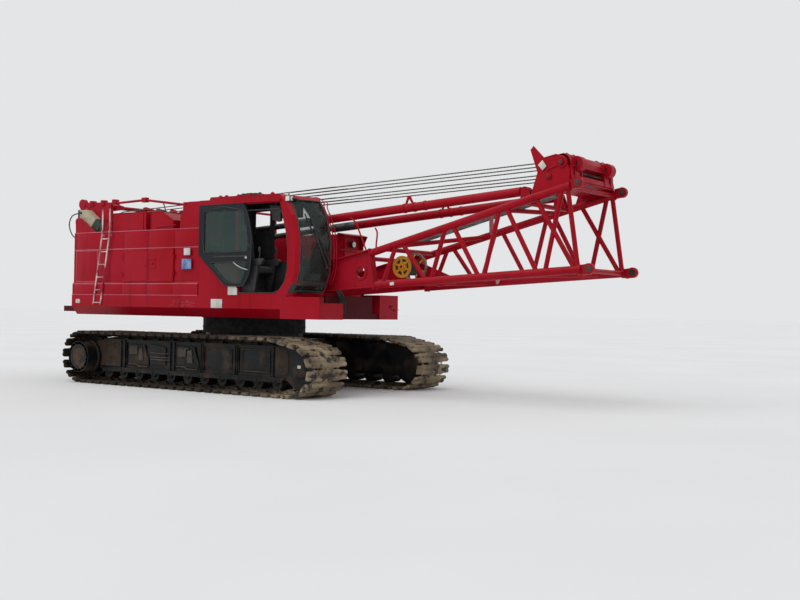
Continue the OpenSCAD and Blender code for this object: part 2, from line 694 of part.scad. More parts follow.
module boom_chords() color(red) on_boom() intersection() {
    union() for (side = [-1, 1], level = [-1, 1])
        chord(side, level, chord_radius, butt_end - 50, chord_end + 50);
    block([butt_end + seat, -1000, -1000], [chord_end, 1000, 1000]);
}
// Side lacing past the butt's end: [distance on the top chord, distance on the bottom chord]
side_lacing = [[580, 150], [700, 1140], [1680, 1240], [1840, 2250], [2820, 2350], [2950, 3390],
    [3530, 4100]];
// Brace that crosses the last of the side lacing and is cut where they meet
crossing_brace = [4050, 3540];
// Lacing of the top and bottom faces: [distance on the right chord, distance on the left chord]
top_lacing = [[250, 250], [400, 1450], [2650, 1600], [2800, 3050], [3250, 3250], [4155, 4155]];
bottom_lacing = [[350, 1450], [2650, 1600], [2800, 3750], [4155, 4155]];
module all_chords(r, x0 = butt_end - 100) for (side = [-1, 1], level = [-1, 1])
    chord(side, level, r, x0, boom_length);
module side_brace(side, row, r) rod([lace_x(row[0]), side * chord_y, chord_z(lace_x(row[0]))],
    [lace_x(row[1]), side * chord_y, -chord_z(lace_x(row[1]))], r);
end_post = [4150, 4150];
module boom_side_braces() color(red) on_boom() for (side = [-1, 1]) difference() {
    union() {
        side_brace(side, end_post, brace_radius);
        difference() {
            union() {
                for (row = side_lacing) side_brace(side, row, brace_radius);
                difference() {
                    side_brace(side, crossing_brace, brace_radius);
                    side_brace(side, side_lacing[len(side_lacing) - 1], brace_radius + seat);
                }
            }
            side_brace(side, end_post, brace_radius + seat);
        }
    }
    all_chords(chord_radius + seat);
}
module flat_brace(row, level, r) rod([lace_x(row[0]), -chord_y, level * chord_z(lace_x(row[0]))],
    [lace_x(row[1]), chord_y, level * chord_z(lace_x(row[1]))], r);
module boom_flat_braces() color(red) on_boom() difference() {
    union() {
        for (row = top_lacing) flat_brace(row, 1, brace_radius);
        for (row = bottom_lacing) flat_brace(row, -1, brace_radius);
    }
    all_chords(chord_radius + seat);
}
module boom_end_lugs() color(red) on_boom() for (side = [-1, 1], level = [-1, 1])
    translate([boom_length, side * chord_y, level * end_half_height]) difference() {
        union() {
            cross_bar([0, 0], -lug_thickness / 2, lug_thickness / 2, lug_radius);
            block([-130 + seat, -lug_thickness / 2, -lug_radius + 6],
                [0, lug_thickness / 2, lug_radius - 6]);
        }
        cross_bar([0, 0], -60, 60, lug_bore);
    }
// Walkway on the top lacing: [x from, x to, y from, y to]
walkway = [lace_x(450), lace_x(2950), -480, -120];
module boom_walkway() color(charcoal) on_boom() rotate([0, -atan2(end_half_height, boom_length), 0])
    block([walkway[0], walkway[2], brace_radius + seat], [walkway[1], walkway[3], brace_radius + 30]);

// Suspension head stored on the boom's end
spreader_axis = [boom_length - 250, end_half_height + 405];
// Outlines about the head's axis: the outer horn plates, and the plates between them
horn = [[-650, -430], [80, -400], [110, -140], [50, 80], [-100, 150], [-330, 142], [-500, 380],
    [-550, 340], [-470, -80]];
housing = [[-370, -330], [130, -330], [170, 40], [30, 170], [-170, 140], [-370, -140]];
// Plates of the head: distance of the inner face from the middle plane
housing_plates = [660, 420];
spreader_pin = 45;
module spreader() color(red) on_boom() difference() {
    plate_half = chord_y - 20;
    union() {
        translate([spreader_axis[0], 0, spreader_axis[1]]) {
            both_sides() {
                side_plate(chord_y - 45, 30) polygon(horn);
                side_plate(chord_y - 75, 60) circle(85);
                for (y = housing_plates) side_plate(y, 30) polygon(housing);
            }
            block([-500, -plate_half, -350], [110, plate_half, -320]);
            block([-500, -plate_half, -330], [-470, plate_half, -160]);
        }
        cross_bar(spreader_axis, -chord_y - 50, chord_y + 50, spreader_pin);
    }
    all_chords(chord_radius + seat);
}
module spreader_sheaves() color(charcoal) on_boom() difference() {
    cross_bar(spreader_axis, -400, 400, sheave_radius);
    cross_bar(spreader_axis, -401, 401, spreader_pin + seat);
}

backstop_tie = lace_x(3250);
backstop_boom_pin = [backstop_tie, chord_z(backstop_tie) + 218.49];
backstop_pin_radius = 32;
// Lugs on the top face's cross tube that hold the backstops' front pins
module backstop_lugs() color(red) on_boom() difference() {
    both_sides() {
        for (y = [backstop_y - 82, backstop_y + 52]) side_plate(y, 30) {
            translate(backstop_boom_pin) circle(70);
            polygon([[backstop_tie - 120, chord_z(backstop_tie)],
                [backstop_tie + 120, chord_z(backstop_tie)],
                [backstop_tie + 68, backstop_boom_pin[1]], [backstop_tie - 68, backstop_boom_pin[1]]]);
        }
        cross_bar(backstop_boom_pin, backstop_y - 70, backstop_y + 70, backstop_pin_radius);
    }
    cross_bar([backstop_tie, chord_z(backstop_tie)], -800, 800, brace_radius + seat);
}

reel_axis = [butt_end + 370, -5];
reel_flange = 275;
reel_wheel = 195;
reel_bore = 30;
reel_near = -470;
reel_far = -50;
reel_rim = 12;
module reel_bracket() color(red) on_boom() difference() {
    union() {
        side_plate(reel_far + 30, 20) translate(reel_axis)
            polygon([[-60, 75], [-60, -75], [430, -435], [860, -435], [860, -335], [100, 95]]);
        cross_bar(reel_axis, reel_near - 20, reel_far + 40, reel_bore - seat);
    }
    for (row = bottom_lacing) flat_brace(row, -1, brace_radius + seat);
}
module tagline_reel() color(reel_yellow) on_boom() difference() {
    union() {
        cross_bar(reel_axis, reel_near, reel_near + 20, reel_wheel);
        cross_bar(reel_axis, reel_near + 10, reel_far + reel_rim + 4, 100);
        difference() {
            cross_bar(reel_axis, reel_far, reel_far + reel_rim, reel_flange);
            cross_bar(reel_axis, reel_far - 1, reel_far + reel_rim + 1, reel_flange - 28);
        }
        for (a = [0:60:120]) translate([reel_axis[0], reel_far + reel_rim / 2, reel_axis[1]]) rotate([0, a, 0])
            cube([2 * reel_flange - 26, reel_rim - 4, 36], center = true);
    }
    for (a = [0:60:300]) cross_bar(reel_axis + 140 * [cos(a), sin(a)], reel_near - 1, reel_near + 21, 32);
    cross_bar(reel_axis, reel_near - 10, reel_far + 20, reel_bore);
}

// Backstops: the outer tubes hinge on the boom, the rods run in them

function on_upper(p) = [foot_x + p[0] * cos(rest_angle) - p[1] * sin(rest_angle),
    foot_z + p[0] * sin(rest_angle) + p[1] * cos(rest_angle)];
backstop_front = on_upper(backstop_boom_pin);
backstop_angle = atan2(backstop_front[1] - backstop_pivot[1], backstop_front[0] - backstop_pivot[0]);
backstop_span = norm(backstop_front - backstop_pivot);
tube_length = 5300;
rod_length = 3000;
// Frame with its origin at the rear pin and x along the backstop
module along_backstop() placed() translate([backstop_pivot[0], 0, backstop_pivot[1]])
    rotate([0, -backstop_angle, 0]) children();
module backstop_tubes() color(red) along_backstop() both_sides() difference() {
    union() {
        translate([backstop_span - tube_length, backstop_y, 0]) rotate([0, 90, 0])
            cylinder(h = tube_length - 100, r = backstop_tube_radius);
        cross_bar([backstop_span, 0], backstop_y - 45, backstop_y + 45, 70);
        block([backstop_span - 120, backstop_y - 45, -60], [backstop_span, backstop_y + 45, 60]);
    }
    translate([backstop_span - tube_length + 60, backstop_y, 0]) rotate([0, 90, 0])
        cylinder(h = tube_length - 300, r = backstop_rod_radius + 8);
    translate([backstop_span - tube_length - 1, backstop_y, 0]) rotate([0, 90, 0])
        cylinder(h = 100, r = backstop_rod_radius + seat);
    cross_bar([backstop_span, 0], backstop_y - 90, backstop_y + 90, backstop_pin_radius + seat);
}
module backstop_rods() color(bare_steel) along_backstop() both_sides() {
    union() {
        translate([60, backstop_y, 0]) rotate([0, 90, 0]) cylinder(h = rod_length, r = backstop_rod_radius);
        cross_bar([0, 0], backstop_y - 62 + seat, backstop_y + 62 - seat, 80);
    }
}

// Suspension ropes in two halves that pass each other side by side

spreader_place = on_upper(spreader_axis);
rope_run = spreader_place - gantry_axle;
rope_angle = atan2(rope_run[1], rope_run[0]);
rope_pass = 15;
// Rope parts as [sideways place, layer]
rope_rows = [for (layer = [1, -1], i = [0:rope_count - 1]) [(i - (rope_count - 1) / 2) * rope_pitch, layer]];
module rope_half(start, side) for (row = rope_rows)
    translate([start, row[0] + side * rope_pass, row[1] * (sheave_radius + rope_radius + seat)])
        rotate([0, 90, 0]) cylinder(h = rope_half_length, r = rope_radius);
module ropes_rear() color(charcoal) placed() translate([gantry_axle[0], 0, gantry_axle[1]])
    rotate([0, -rope_angle, 0]) rope_half(0, -1);
module ropes_front() color(charcoal) placed() translate([spreader_place[0], 0, spreader_place[1]])
    rotate([0, -rope_angle, 0]) rope_half(-rope_half_length, 1);

carbody();
slew_ring();
track_frames();
track_right();
track_left();
running_gear();
deck_bed();
deck_right();
deck_left();
house_right();
house_left();
door_right_front();
door_right_rear();
door_left_front();
door_left_rear();
engine();
gantry_frame();
gantry_sheaves();
raising_cylinders();
upper_brackets();
cab_shell();
cab_glass();
cab_interior();
cab_door();
cab_door_glass();
ladder();
drum_front();
drum_rear();
drum_boom_hoist();
boom_butts();
boom_butt_ties();
boom_chords();
boom_side_braces();
boom_flat_braces();
boom_end_lugs();
boom_walkway();
spreader();
spreader_sheaves();
backstop_lugs();
reel_bracket();
tagline_reel();
backstop_tubes();
backstop_rods();
ropes_rear();
ropes_front();
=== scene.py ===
import json
import math
import random
import bmesh
import bpy
from mathutils import Matrix, Vector


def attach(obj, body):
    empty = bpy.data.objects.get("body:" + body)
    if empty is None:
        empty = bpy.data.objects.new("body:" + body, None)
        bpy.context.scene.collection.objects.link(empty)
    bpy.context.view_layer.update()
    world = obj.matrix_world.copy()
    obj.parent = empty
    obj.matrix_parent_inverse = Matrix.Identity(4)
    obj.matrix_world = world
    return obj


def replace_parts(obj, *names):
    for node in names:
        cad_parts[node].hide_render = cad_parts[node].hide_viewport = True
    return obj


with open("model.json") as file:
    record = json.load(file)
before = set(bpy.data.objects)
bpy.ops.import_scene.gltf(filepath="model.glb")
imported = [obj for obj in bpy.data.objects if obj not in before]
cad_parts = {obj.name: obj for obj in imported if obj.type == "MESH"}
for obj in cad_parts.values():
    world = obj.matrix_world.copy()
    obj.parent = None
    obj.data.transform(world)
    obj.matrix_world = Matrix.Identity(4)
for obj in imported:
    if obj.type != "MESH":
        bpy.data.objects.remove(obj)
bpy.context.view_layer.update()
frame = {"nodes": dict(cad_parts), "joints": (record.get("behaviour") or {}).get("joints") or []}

random.seed(11)
nodes = frame["nodes"]
slewX = next(j["pos_m"][0] for j in frame["joints"] if j["name"] == "slew")
footPin = Vector(next(j["pos_m"] for j in frame["joints"] if j["name"] == "boom_luff"))
restAngle = math.radians(8.82)
across, upward, ahead = Vector((0, 1, 0)), Vector((0, 0, 1)), Vector((1, 0, 0))
print("stage: frame loaded,", len(nodes), "nodes")


# Places are in millimetres: from the slewing axis and the ground, or from the boom's foot pin along the boom

def onUpper(x, y, z):
    return Vector((slewX + x / 1000, y / 1000, z / 1000))


def onBoom(x, y, z):
    c, s = math.cos(restAngle), math.sin(restAngle)
    return Vector((footPin.x + (x * c - z * s) / 1000, y / 1000, footPin.z + (x * s + z * c) / 1000))


# Camera: where the photograph was taken from, at eye height beside the boom's end
photoCamera = {"place": (14.385, -17.09, 1.629), "toward": (-0.590, 0.807), "pitch": 0.558, "roll": 0.945,
               "lens": 49.58, "sensor": 36, "farthest": 900}


def makeCamera(values):
    data = bpy.data.cameras.new("photoCamera")
    data.lens = values["lens"]
    data.sensor_width = values["sensor"]
    data.clip_end = values["farthest"]
    forward = Vector((*values["toward"], 0)).normalized()
    right = forward.cross(upward).normalized()
    forward = Matrix.Rotation(math.radians(values["pitch"]), 3, right) @ forward
    up = right.cross(forward)
    turn = Matrix((right, up, -forward)).transposed() @ Matrix.Rotation(math.radians(values["roll"]), 3, "Z")
    camera = bpy.data.objects.new("photoCamera", data)
    camera.matrix_world = Matrix.Translation(values["place"]) @ turn.to_4x4()
    bpy.context.scene.collection.objects.link(camera)
    bpy.context.scene.camera = camera


makeCamera(photoCamera)


# Materials: colours as sRGB hex, sizes in millimetres

def hexColour(text):
    parts = [int(text[i:i + 2], 16) / 255 for i in (0, 2, 4)]
    return (*[c / 12.92 if c <= 0.04045 else ((c + 0.055) / 1.055) ** 2.4 for c in parts], 1)


def setInputs(tree, made, inputs):
    # a node given as a value stands for its result, which a colour mix has as its third output
    for key, value in inputs.items():
        if isinstance(value, bpy.types.Node):
            value = value.outputs[2 if value.bl_idname == "ShaderNodeMix" else 0]
        if isinstance(value, bpy.types.NodeSocket):
            tree.links.new(value, made.inputs[key])
        else:
            made.inputs[key].default_value = value


def addNode(tree, kind, inputs=None, **settings):
    made = tree.nodes.new("ShaderNode" + kind)
    for key, value in settings.items():
        setattr(made, key, value)
    setInputs(tree, made, inputs or {})
    return made


def newFinish(name):
    finish = bpy.data.materials.new(name)
    finish.use_nodes = True
    tree = finish.node_tree
    tree.nodes.clear()
    shader = addNode(tree, "BsdfPrincipled")
    addNode(tree, "OutputMaterial", {0: shader})
    return finish, tree, shader, addNode(tree, "TexCoord")


def patches(tree, place, sizeMm, edges=(0.4, 0.6), stretch=(1, 1, 1), detail=4.0):
    # 0 to 1 in blobs about sizeMm across
    drawn = addNode(tree, "Mapping", {"Vector": place.outputs["Object"], "Scale": stretch})
    noise = addNode(tree, "TexNoise", {"Vector": drawn, "Scale": 500 / sizeMm, "Detail": detail})
    return addNode(tree, "MapRange", {0: noise, 1: edges[0], 2: edges[1]})


def facingUp(tree, place, low=0.2, high=0.9):
    # 1 on faces that look up, where dust settles and where the paint is made paler as painted top light
    axes = addNode(tree, "SeparateXYZ", {0: place.outputs["Normal"]})
    return addNode(tree, "MapRange", {0: axes.outputs["Z"], 1: low, 2: high})


# Machinery enamel, sprayed over primer: deep gloss crimson that chalks to pink in patches, with rain streaks, and
# dust on faces that look up which is partly painted top light
enamel = {"colour": "950317", "chalked": "a81c34", "streak": "5f0712", "dust": "a08478", "primer": "6b5a52",
          "dustOnTop": 0.26, "streaks": 0.35, "chips": 0.35, "roughness": 0.3, "chalkMm": 1100, "streakMm": 70,
          "dustMm": 300, "chipMm": 26, "chipAreaMm": 900, "peelMm": 9, "peelHeight": 0.0004, "sheetWaveMm": 420,
          "waveHeight": 0.004, "glossMm": 160, "gloss": 0.1, "chalkShare": 0.45}


def makeEnamel(name, **changes):
    values = {**enamel, **changes}
    finish, tree, shader, place = newFinish(name)
    layers = {"chalked": (patches(tree, place, values["chalkMm"]), values["chalkShare"]),
              "streak": (patches(tree, place, values["streakMm"], (0.55, 0.75), (1, 1, 0.07), 3), values["streaks"]),
              # pale tone on upward faces: real dust, and partly painted top light that makes the tops paler
              "dust": (facingUp(tree, place), patches(tree, place, values["dustMm"], (0.25, 0.75)),
                       values["dustOnTop"]),
              "primer": (patches(tree, place, values["chipMm"], (0.71, 0.73), detail=6),
                         patches(tree, place, values["chipAreaMm"], (0.5, 0.62)), values["chips"])}
    shares = {}
    colour = hexColour(values["colour"])
    for tone, factors in layers.items():
        shares[tone] = factors[0]
        for factor in factors[1:]:
            shares[tone] = addNode(tree, "Math", {0: shares[tone], 1: factor}, operation="MULTIPLY")
        colour = addNode(tree, "Mix", {0: shares[tone], 6: colour, 7: hexColour(values[tone])}, data_type="RGBA")
    rough = addNode(tree, "Math", {0: shares["dust"], 1: 0.7, 2: values["roughness"]}, operation="MULTIPLY_ADD")
    rough = addNode(tree, "Math", {0: patches(tree, place, values["glossMm"], (0.2, 0.8)), 1: 0.12, 2: rough},
                    operation="MULTIPLY_ADD")
    wave = addNode(tree, "Bump", {"Height": patches(tree, place, values["sheetWaveMm"], (0, 1), detail=1),
                                  "Distance": values["waveHeight"], "Strength": 0.6})
    peel = addNode(tree, "Bump", {"Height": patches(tree, place, values["peelMm"], (0, 1), detail=2),
                                  "Distance": values["peelHeight"], "Strength": 0.35, "Normal": wave})
    setInputs(tree, shader, {"Base Color": colour, "Roughness": rough, "Normal": peel, "IOR": 1.5,
                             "Specular IOR Level": values["gloss"]})
    return finish


# Cast track steel caked with dried tan mud: dull lumps on the outside, darker metal in patches between the mud
caked = {"steel": "2a2420", "polished": "6f6a62", "mud": "8f7d66", "darkMud": "4a3c30", "mudShare": (0.4, 0.5),
         "toneMm": 240, "polishMm": 30, "mudMm": 85, "crumbMm": 14, "roughness": 0.78, "height": 0.006,
         "gloss": 0.3, "dryFrom": (-30, -29), "wet": "8d857c"}


def makeCaked(name, **changes):
    values = {**caked, **changes}
    finish, tree, shader, place = newFinish(name)
    mudTone = addNode(tree, "Mix", {0: patches(tree, place, values["toneMm"], (0.3, 0.7)),
                                    6: hexColour(values["mud"]), 7: hexColour(values["darkMud"])}, data_type="RGBA")
    metal = addNode(tree, "Mix", {0: patches(tree, place, values["polishMm"], (0.58, 0.7)),
                                  6: hexColour(values["steel"]), 7: hexColour(values["polished"])}, data_type="RGBA")
    cover = patches(tree, place, values["mudMm"], values["mudShare"], detail=6)
    colour = addNode(tree, "Mix", {0: cover, 6: metal, 7: mudTone}, data_type="RGBA")
    # darker towards the rear, where the colour is multiplied by the rear tint; the limits are metres along the
    # machine
    along = addNode(tree, "SeparateXYZ", {0: place.outputs["Object"]})
    dry = addNode(tree, "MapRange", {0: along, 1: values["dryFrom"][0], 2: values["dryFrom"][1], 3: 1.0, 4: 0.0})
    colour = addNode(tree, "Mix", {0: dry, 6: colour, 7: hexColour(values["wet"])}, data_type="RGBA",
                     blend_type="MULTIPLY")
    rough = addNode(tree, "MapRange", {0: cover, 3: values["roughness"] - 0.22, 4: values["roughness"] + 0.15})
    crumbs = addNode(tree, "Math", {0: cover, 1: patches(tree, place, values["crumbMm"], (0, 1), detail=8)},
                     operation="MULTIPLY")
    bump = addNode(tree, "Bump", {"Height": crumbs, "Distance": values["height"], "Strength": 0.9})
    setInputs(tree, shader, {"Base Color": colour, "Roughness": rough, "Normal": bump, "Metallic": 0.0,
                             "Specular IOR Level": values["gloss"]})
    return finish


# Bare machined or worn steel: dull grey with grease films and fine scratches
bareSteel = {"colour": "8e8d8a", "film": "3a3530", "filmShare": (0.45, 0.62), "filmMm": 120, "scratchMm": 5,
             "roughness": 0.36, "metallic": 0.9}


def makeBareSteel(name, **changes):
    values = {**bareSteel, **changes}
    finish, tree, shader, place = newFinish(name)
    film = patches(tree, place, values["filmMm"], values["filmShare"], detail=6)
    colour = addNode(tree, "Mix", {0: film, 6: hexColour(values["colour"]), 7: hexColour(values["film"])},
                     data_type="RGBA")
    rough = addNode(tree, "MapRange", {0: film, 3: values["roughness"], 4: values["roughness"] + 0.25})
    scratch = patches(tree, place, values["scratchMm"], (0, 1), (1, 0.08, 1), 3)
    bump = addNode(tree, "Bump", {"Height": scratch, "Distance": 0.0004, "Strength": 0.3})
    setInputs(tree, shader, {"Base Color": colour, "Roughness": rough, "Normal": bump,
                             "Metallic": values["metallic"]})
    return finish


# Tinted safety glass: thin green film of colour that one sees through, glossy, with a little dust
glazing = {"dustMm": 260, "roughness": 0.04, "dusty": 0.16}


def makeGlazing(name, tint, cover, dustCover):
    finish, tree, shader, place = newFinish(name)
    film = patches(tree, place, glazing["dustMm"], (0.35, 0.75))
    rough = addNode(tree, "MapRange", {0: film, 3: glazing["roughness"], 4: glazing["dusty"]})
    cover = addNode(tree, "MapRange", {0: film, 3: cover, 4: cover + dustCover})
    setInputs(tree, shader, {"Base Color": hexColour(tint), "Roughness": rough, "Alpha": cover, "IOR": 1.5})
    return finish


# Moulded rubber and plastic: matt, slightly mottled
moulded = {"colour": "1b1b1c", "mottle": "2c2b2a", "mottleMm": 90, "rubMm": 50, "grainMm": 4, "roughness": 0.6}


def makeMoulded(name, **changes):
    values = {**moulded, **changes}
    finish, tree, shader, place = newFinish(name)
    colour = addNode(tree, "Mix", {0: patches(tree, place, values["mottleMm"]), 6: hexColour(values["colour"]),
                                   7: hexColour(values["mottle"])}, data_type="RGBA")
    rough = addNode(tree, "MapRange", {0: patches(tree, place, values["rubMm"]), 3: values["roughness"] - 0.08,
                                       4: values["roughness"] + 0.1})
    bump = addNode(tree, "Bump", {"Height": patches(tree, place, values["grainMm"], (0, 1)), "Distance": 0.0005,
                                  "Strength": 0.4})
    setInputs(tree, shader, {"Base Color": colour, "Roughness": rough, "Normal": bump, "IOR": 1.5})
    return finish


# Greased steel wire rope: dark strands whose lay shows as slanted ridges, drawn 3 times as coarse as real
wireRope = {"colour": "34302c", "worn": "75706a", "layMm": 36, "roughness": 0.5, "metallic": 0.6}


def makeWireRope(name, values):
    finish, tree, shader, place = newFinish(name)
    strands = addNode(tree, "TexWave", {"Vector": place.outputs["Object"], "Scale": 314 / values["layMm"],
                                        "Distortion": 0.4}, bands_direction="DIAGONAL").outputs[1]
    colour = addNode(tree, "Mix", {0: strands, 6: hexColour(values["colour"]), 7: hexColour(values["worn"])},
                     data_type="RGBA")
    bump = addNode(tree, "Bump", {"Height": strands, "Distance": 0.003, "Strength": 0.8})
    setInputs(tree, shader, {"Base Color": colour, "Normal": bump, "Metallic": values["metallic"],
                             "Roughness": values["roughness"]})
    return finish


# Worn seat cloth: charcoal weave with darker greasy patches and a soft sheen
cloth = {"colour": "2b2c30", "worn": "1d1e21", "threadMm": 3.0, "greaseMm": 170, "roughness": 0.85, "greasy": 0.7,
         "sheen": 0.25}


def makeCloth(name, values):
    finish, tree, shader, place = newFinish(name)
    grease = patches(tree, place, values["greaseMm"])
    colour = addNode(tree, "Mix", {0: grease, 6: hexColour(values["colour"]), 7: hexColour(values["worn"])},
                     data_type="RGBA")
    weave = addNode(tree, "TexVoronoi", {"Vector": place.outputs["Object"], "Scale": 1000 / values["threadMm"]})
    bump = addNode(tree, "Bump", {"Height": weave, "Distance": 0.0006, "Strength": 0.6})
    rough = addNode(tree, "MapRange", {0: grease, 3: values["roughness"], 4: values["greasy"]})
    setInputs(tree, shader, {"Base Color": colour, "Roughness": rough, "Normal": bump,
                             "Sheen Weight": values["sheen"]})
    return finish


houseEnamel = makeEnamel("crimsonHouseEnamel")
frameEnamel = makeEnamel("crimsonFrameEnamel", colour="960315", chips=0.9, streaks=0.5)
boomEnamel = makeEnamel("crimsonBoomEnamel", colour="950619", chalked="a41b31", dustOnTop=0.12, waveHeight=0.001)
gantryEnamel = makeEnamel("crimsonGantryEnamel", colour="95061c", streaks=0.6, waveHeight=0.001)
# ledges and frame strips: pale pink enamel, a painted highlight along the lit edges, with some dust
ledgeHighlightEnamel = makeEnamel("ledgePaintedHighlightEnamel", colour="b04458", chalked="cf8088", dust="c9aca2", waveHeight=0.001)
# ladder: the whitish chalked patches over the crimson are painted highlights along the rails
ladderHighlightEnamel = makeEnamel("ladderPaintedHighlightEnamel", colour="a02438", chalked="e2cfcc", chalkMm=210, dustOnTop=0.2,
                          waveHeight=0.0005, chalkShare=1.0)
# deck bed and brackets under the deck: near-black red that is painted shade
bedShadeEnamel = makeEnamel("bedPaintedShadeEnamel", colour="46060e", chalked="541319", dust="6b5b50", roughness=0.45)
beigeEnamel = makeEnamel("beigeCylinderEnamel", colour="a89c86", chalked="bdb39f", streak="6d5f4c", dust="a09384",
                         waveHeight=0.001)
yellowEnamel = makeEnamel("yellowReelEnamel", colour="c98a16", chalked="d8a94a", streak="6b4a1a", primer="5a4a3c",
                          chips=1.0, waveHeight=0.0005)
charcoalEnamel = makeEnamel("charcoalDoorEnamel", colour="23262a", chalked="2f3236", streak="151617",
                            dust="6b665f", dustOnTop=0.3, waveHeight=0.001)
engineEnamel = makeEnamel("engineGreyEnamel", colour="3a3d3c", chalked="474a48", streak="1c1b1a", dust="5e564c",
                          roughness=0.5)
# track shoes: the dark steel patches between the mud are partly painted shade of the gaps between shoes
shoeSteel = makeCaked("cakedTrackSteel", mud="9a8a70", darkMud="50453a", dryFrom=(-1.0, 0.9), wet="716a66")
lowerPaint = makeCaked("muddyBlackPaint", steel="131416", polished="24252a", mud="54463a", darkMud="241f1b",
                       mudShare=(0.48, 0.7), mudMm=190, roughness=0.6, height=0.003, gloss=0.2)
scuffedPaint = makeCaked("scuffedPipePaint", steel="2b2c2e", polished="6a6c6e", mud="5c5044", darkMud="2f2924",
                         mudMm=60, roughness=0.55, height=0.001)
rustyPlate = makeCaked("rustyCoverPlate", steel="2c2520", polished="3a3029", mud="5a493a", darkMud="30271f",
                       mudShare=(0.4, 0.6), mudMm=120, roughness=0.75, height=0.002, gloss=0.15)
# near-black moulding: painted shade, used on the guard under the deck and the cab's lining
shadowBlack = makeMoulded("paintedShadowBlack", colour="0b0b0c", mottle="161514", grainMm=12, roughness=0.8)
# slewing ring steel: dark film over most of it, partly real grease and partly painted shade under the deck
ringSteelAndShade = makeBareSteel("greasedRingSteelAndShade", colour="5a5854", film="1d1a17", filmShare=(0.2, 0.45), roughness=0.5,
                          metallic=0.6)
sheaveSteel = makeBareSteel("castSheaveSteel", colour="4a4745", roughness=0.5, metallic=0.7)
drumSteel = makeBareSteel("oiledDrumSteel", colour="5d5650", film="241f1b", metallic=0.7)
rodSteel = makeBareSteel("plungerSteel", colour="4a4c4a", film="2a2826", metallic=0.6, roughness=0.35)
gratingSteel = makeBareSteel("galvanisedGrating", colour="8d9091", film="6a675f", metallic=0.6, roughness=0.5)
scuffedSteel = makeBareSteel("scuffedBarSteel", colour="a5a39e", film="4a4643", filmShare=(0.5, 0.7), metallic=0.7)
greasyPin = makeBareSteel("greasyPinSteel", colour="4a2a20", film="1f1411", metallic=0.12, roughness=0.55)
ropeWire = makeWireRope("greasedWireRope", wireRope)
cabGlassFinish = makeGlazing("greenSafetyGlass", "25332f", 0.36, 0.1)
doorGlassFinish = makeGlazing("smokedDoorGlass", "2c4540", 0.42, 0.16)
cabPlastic = makeMoulded("mouldedCabPlastic")
hoseRubber = makeMoulded("hydraulicHoseRubber", roughness=0.5, grainMm=3)
plateWhite = makeMoulded("blankPlateWhite", colour="c9c8c4", mottle="b6b3ac", roughness=0.4)
plateBlue = makeMoulded("blankPlateBlue", colour="3f5f9c", mottle="7f93b8", roughness=0.4)
rubbedPaint = makeMoulded("rubbedPaint", colour="bb7f88", mottle="9c4c59", roughness=0.7)
lampLens = makeMoulded("ribbedLampLens", colour="dcdcd6", mottle="b9bab6", roughness=0.2, grainMm=16)
seatFabric = makeCloth("wornSeatCloth", cloth)

for finish, names in (
        (lowerPaint, "carbody track_frames running_gear"), (ringSteelAndShade, "slew_ring"), (engineEnamel, "engine"),
        (shoeSteel, "track_right track_left"), (bedShadeEnamel, "deck_bed upper_brackets"),
        (frameEnamel, "deck_right deck_left"), (gantryEnamel, "gantry_frame"), (ladderHighlightEnamel, "ladder"),
        (houseEnamel, "house_right house_left door_right_front door_right_rear door_left_front door_left_rear "
                      "cab_shell"),
        (sheaveSteel, "gantry_sheaves spreader_sheaves"), (beigeEnamel, "raising_cylinders"),
        (cabGlassFinish, "cab_glass"), (cabPlastic, "cab_interior"), (charcoalEnamel, "cab_door"),
        (doorGlassFinish, "cab_door_glass"), (drumSteel, "drum_front drum_rear drum_boom_hoist"),
        (boomEnamel, "boom_butts boom_butt_ties boom_chords boom_side_braces boom_flat_braces boom_end_lugs "
                     "spreader backstop_lugs backstop_tubes reel_bracket"),
        (gratingSteel, "boom_walkway"), (yellowEnamel, "tagline_reel"), (rodSteel, "backstop_rods"),
        (ropeWire, "ropes_rear ropes_front")):
    for name in names.split():
        nodes[name].data.materials.clear()
        nodes[name].data.materials.append(finish)
print("stage: finishes,", len(bpy.data.materials), "materials")


# Studio: pale floor, even sky and one broad lamp

studio = {"floor": "d6d7d8", "floorMottle": "d9dadb", "mottleMm": 2500, "radius": 420, "drop": 0.001,
          "backdrop": "e4e5e6", "sky": 0.8, "lamp": 1.2, "lampSpread": 50, "lampFrom": (-0.3, -0.9, 1.35)}


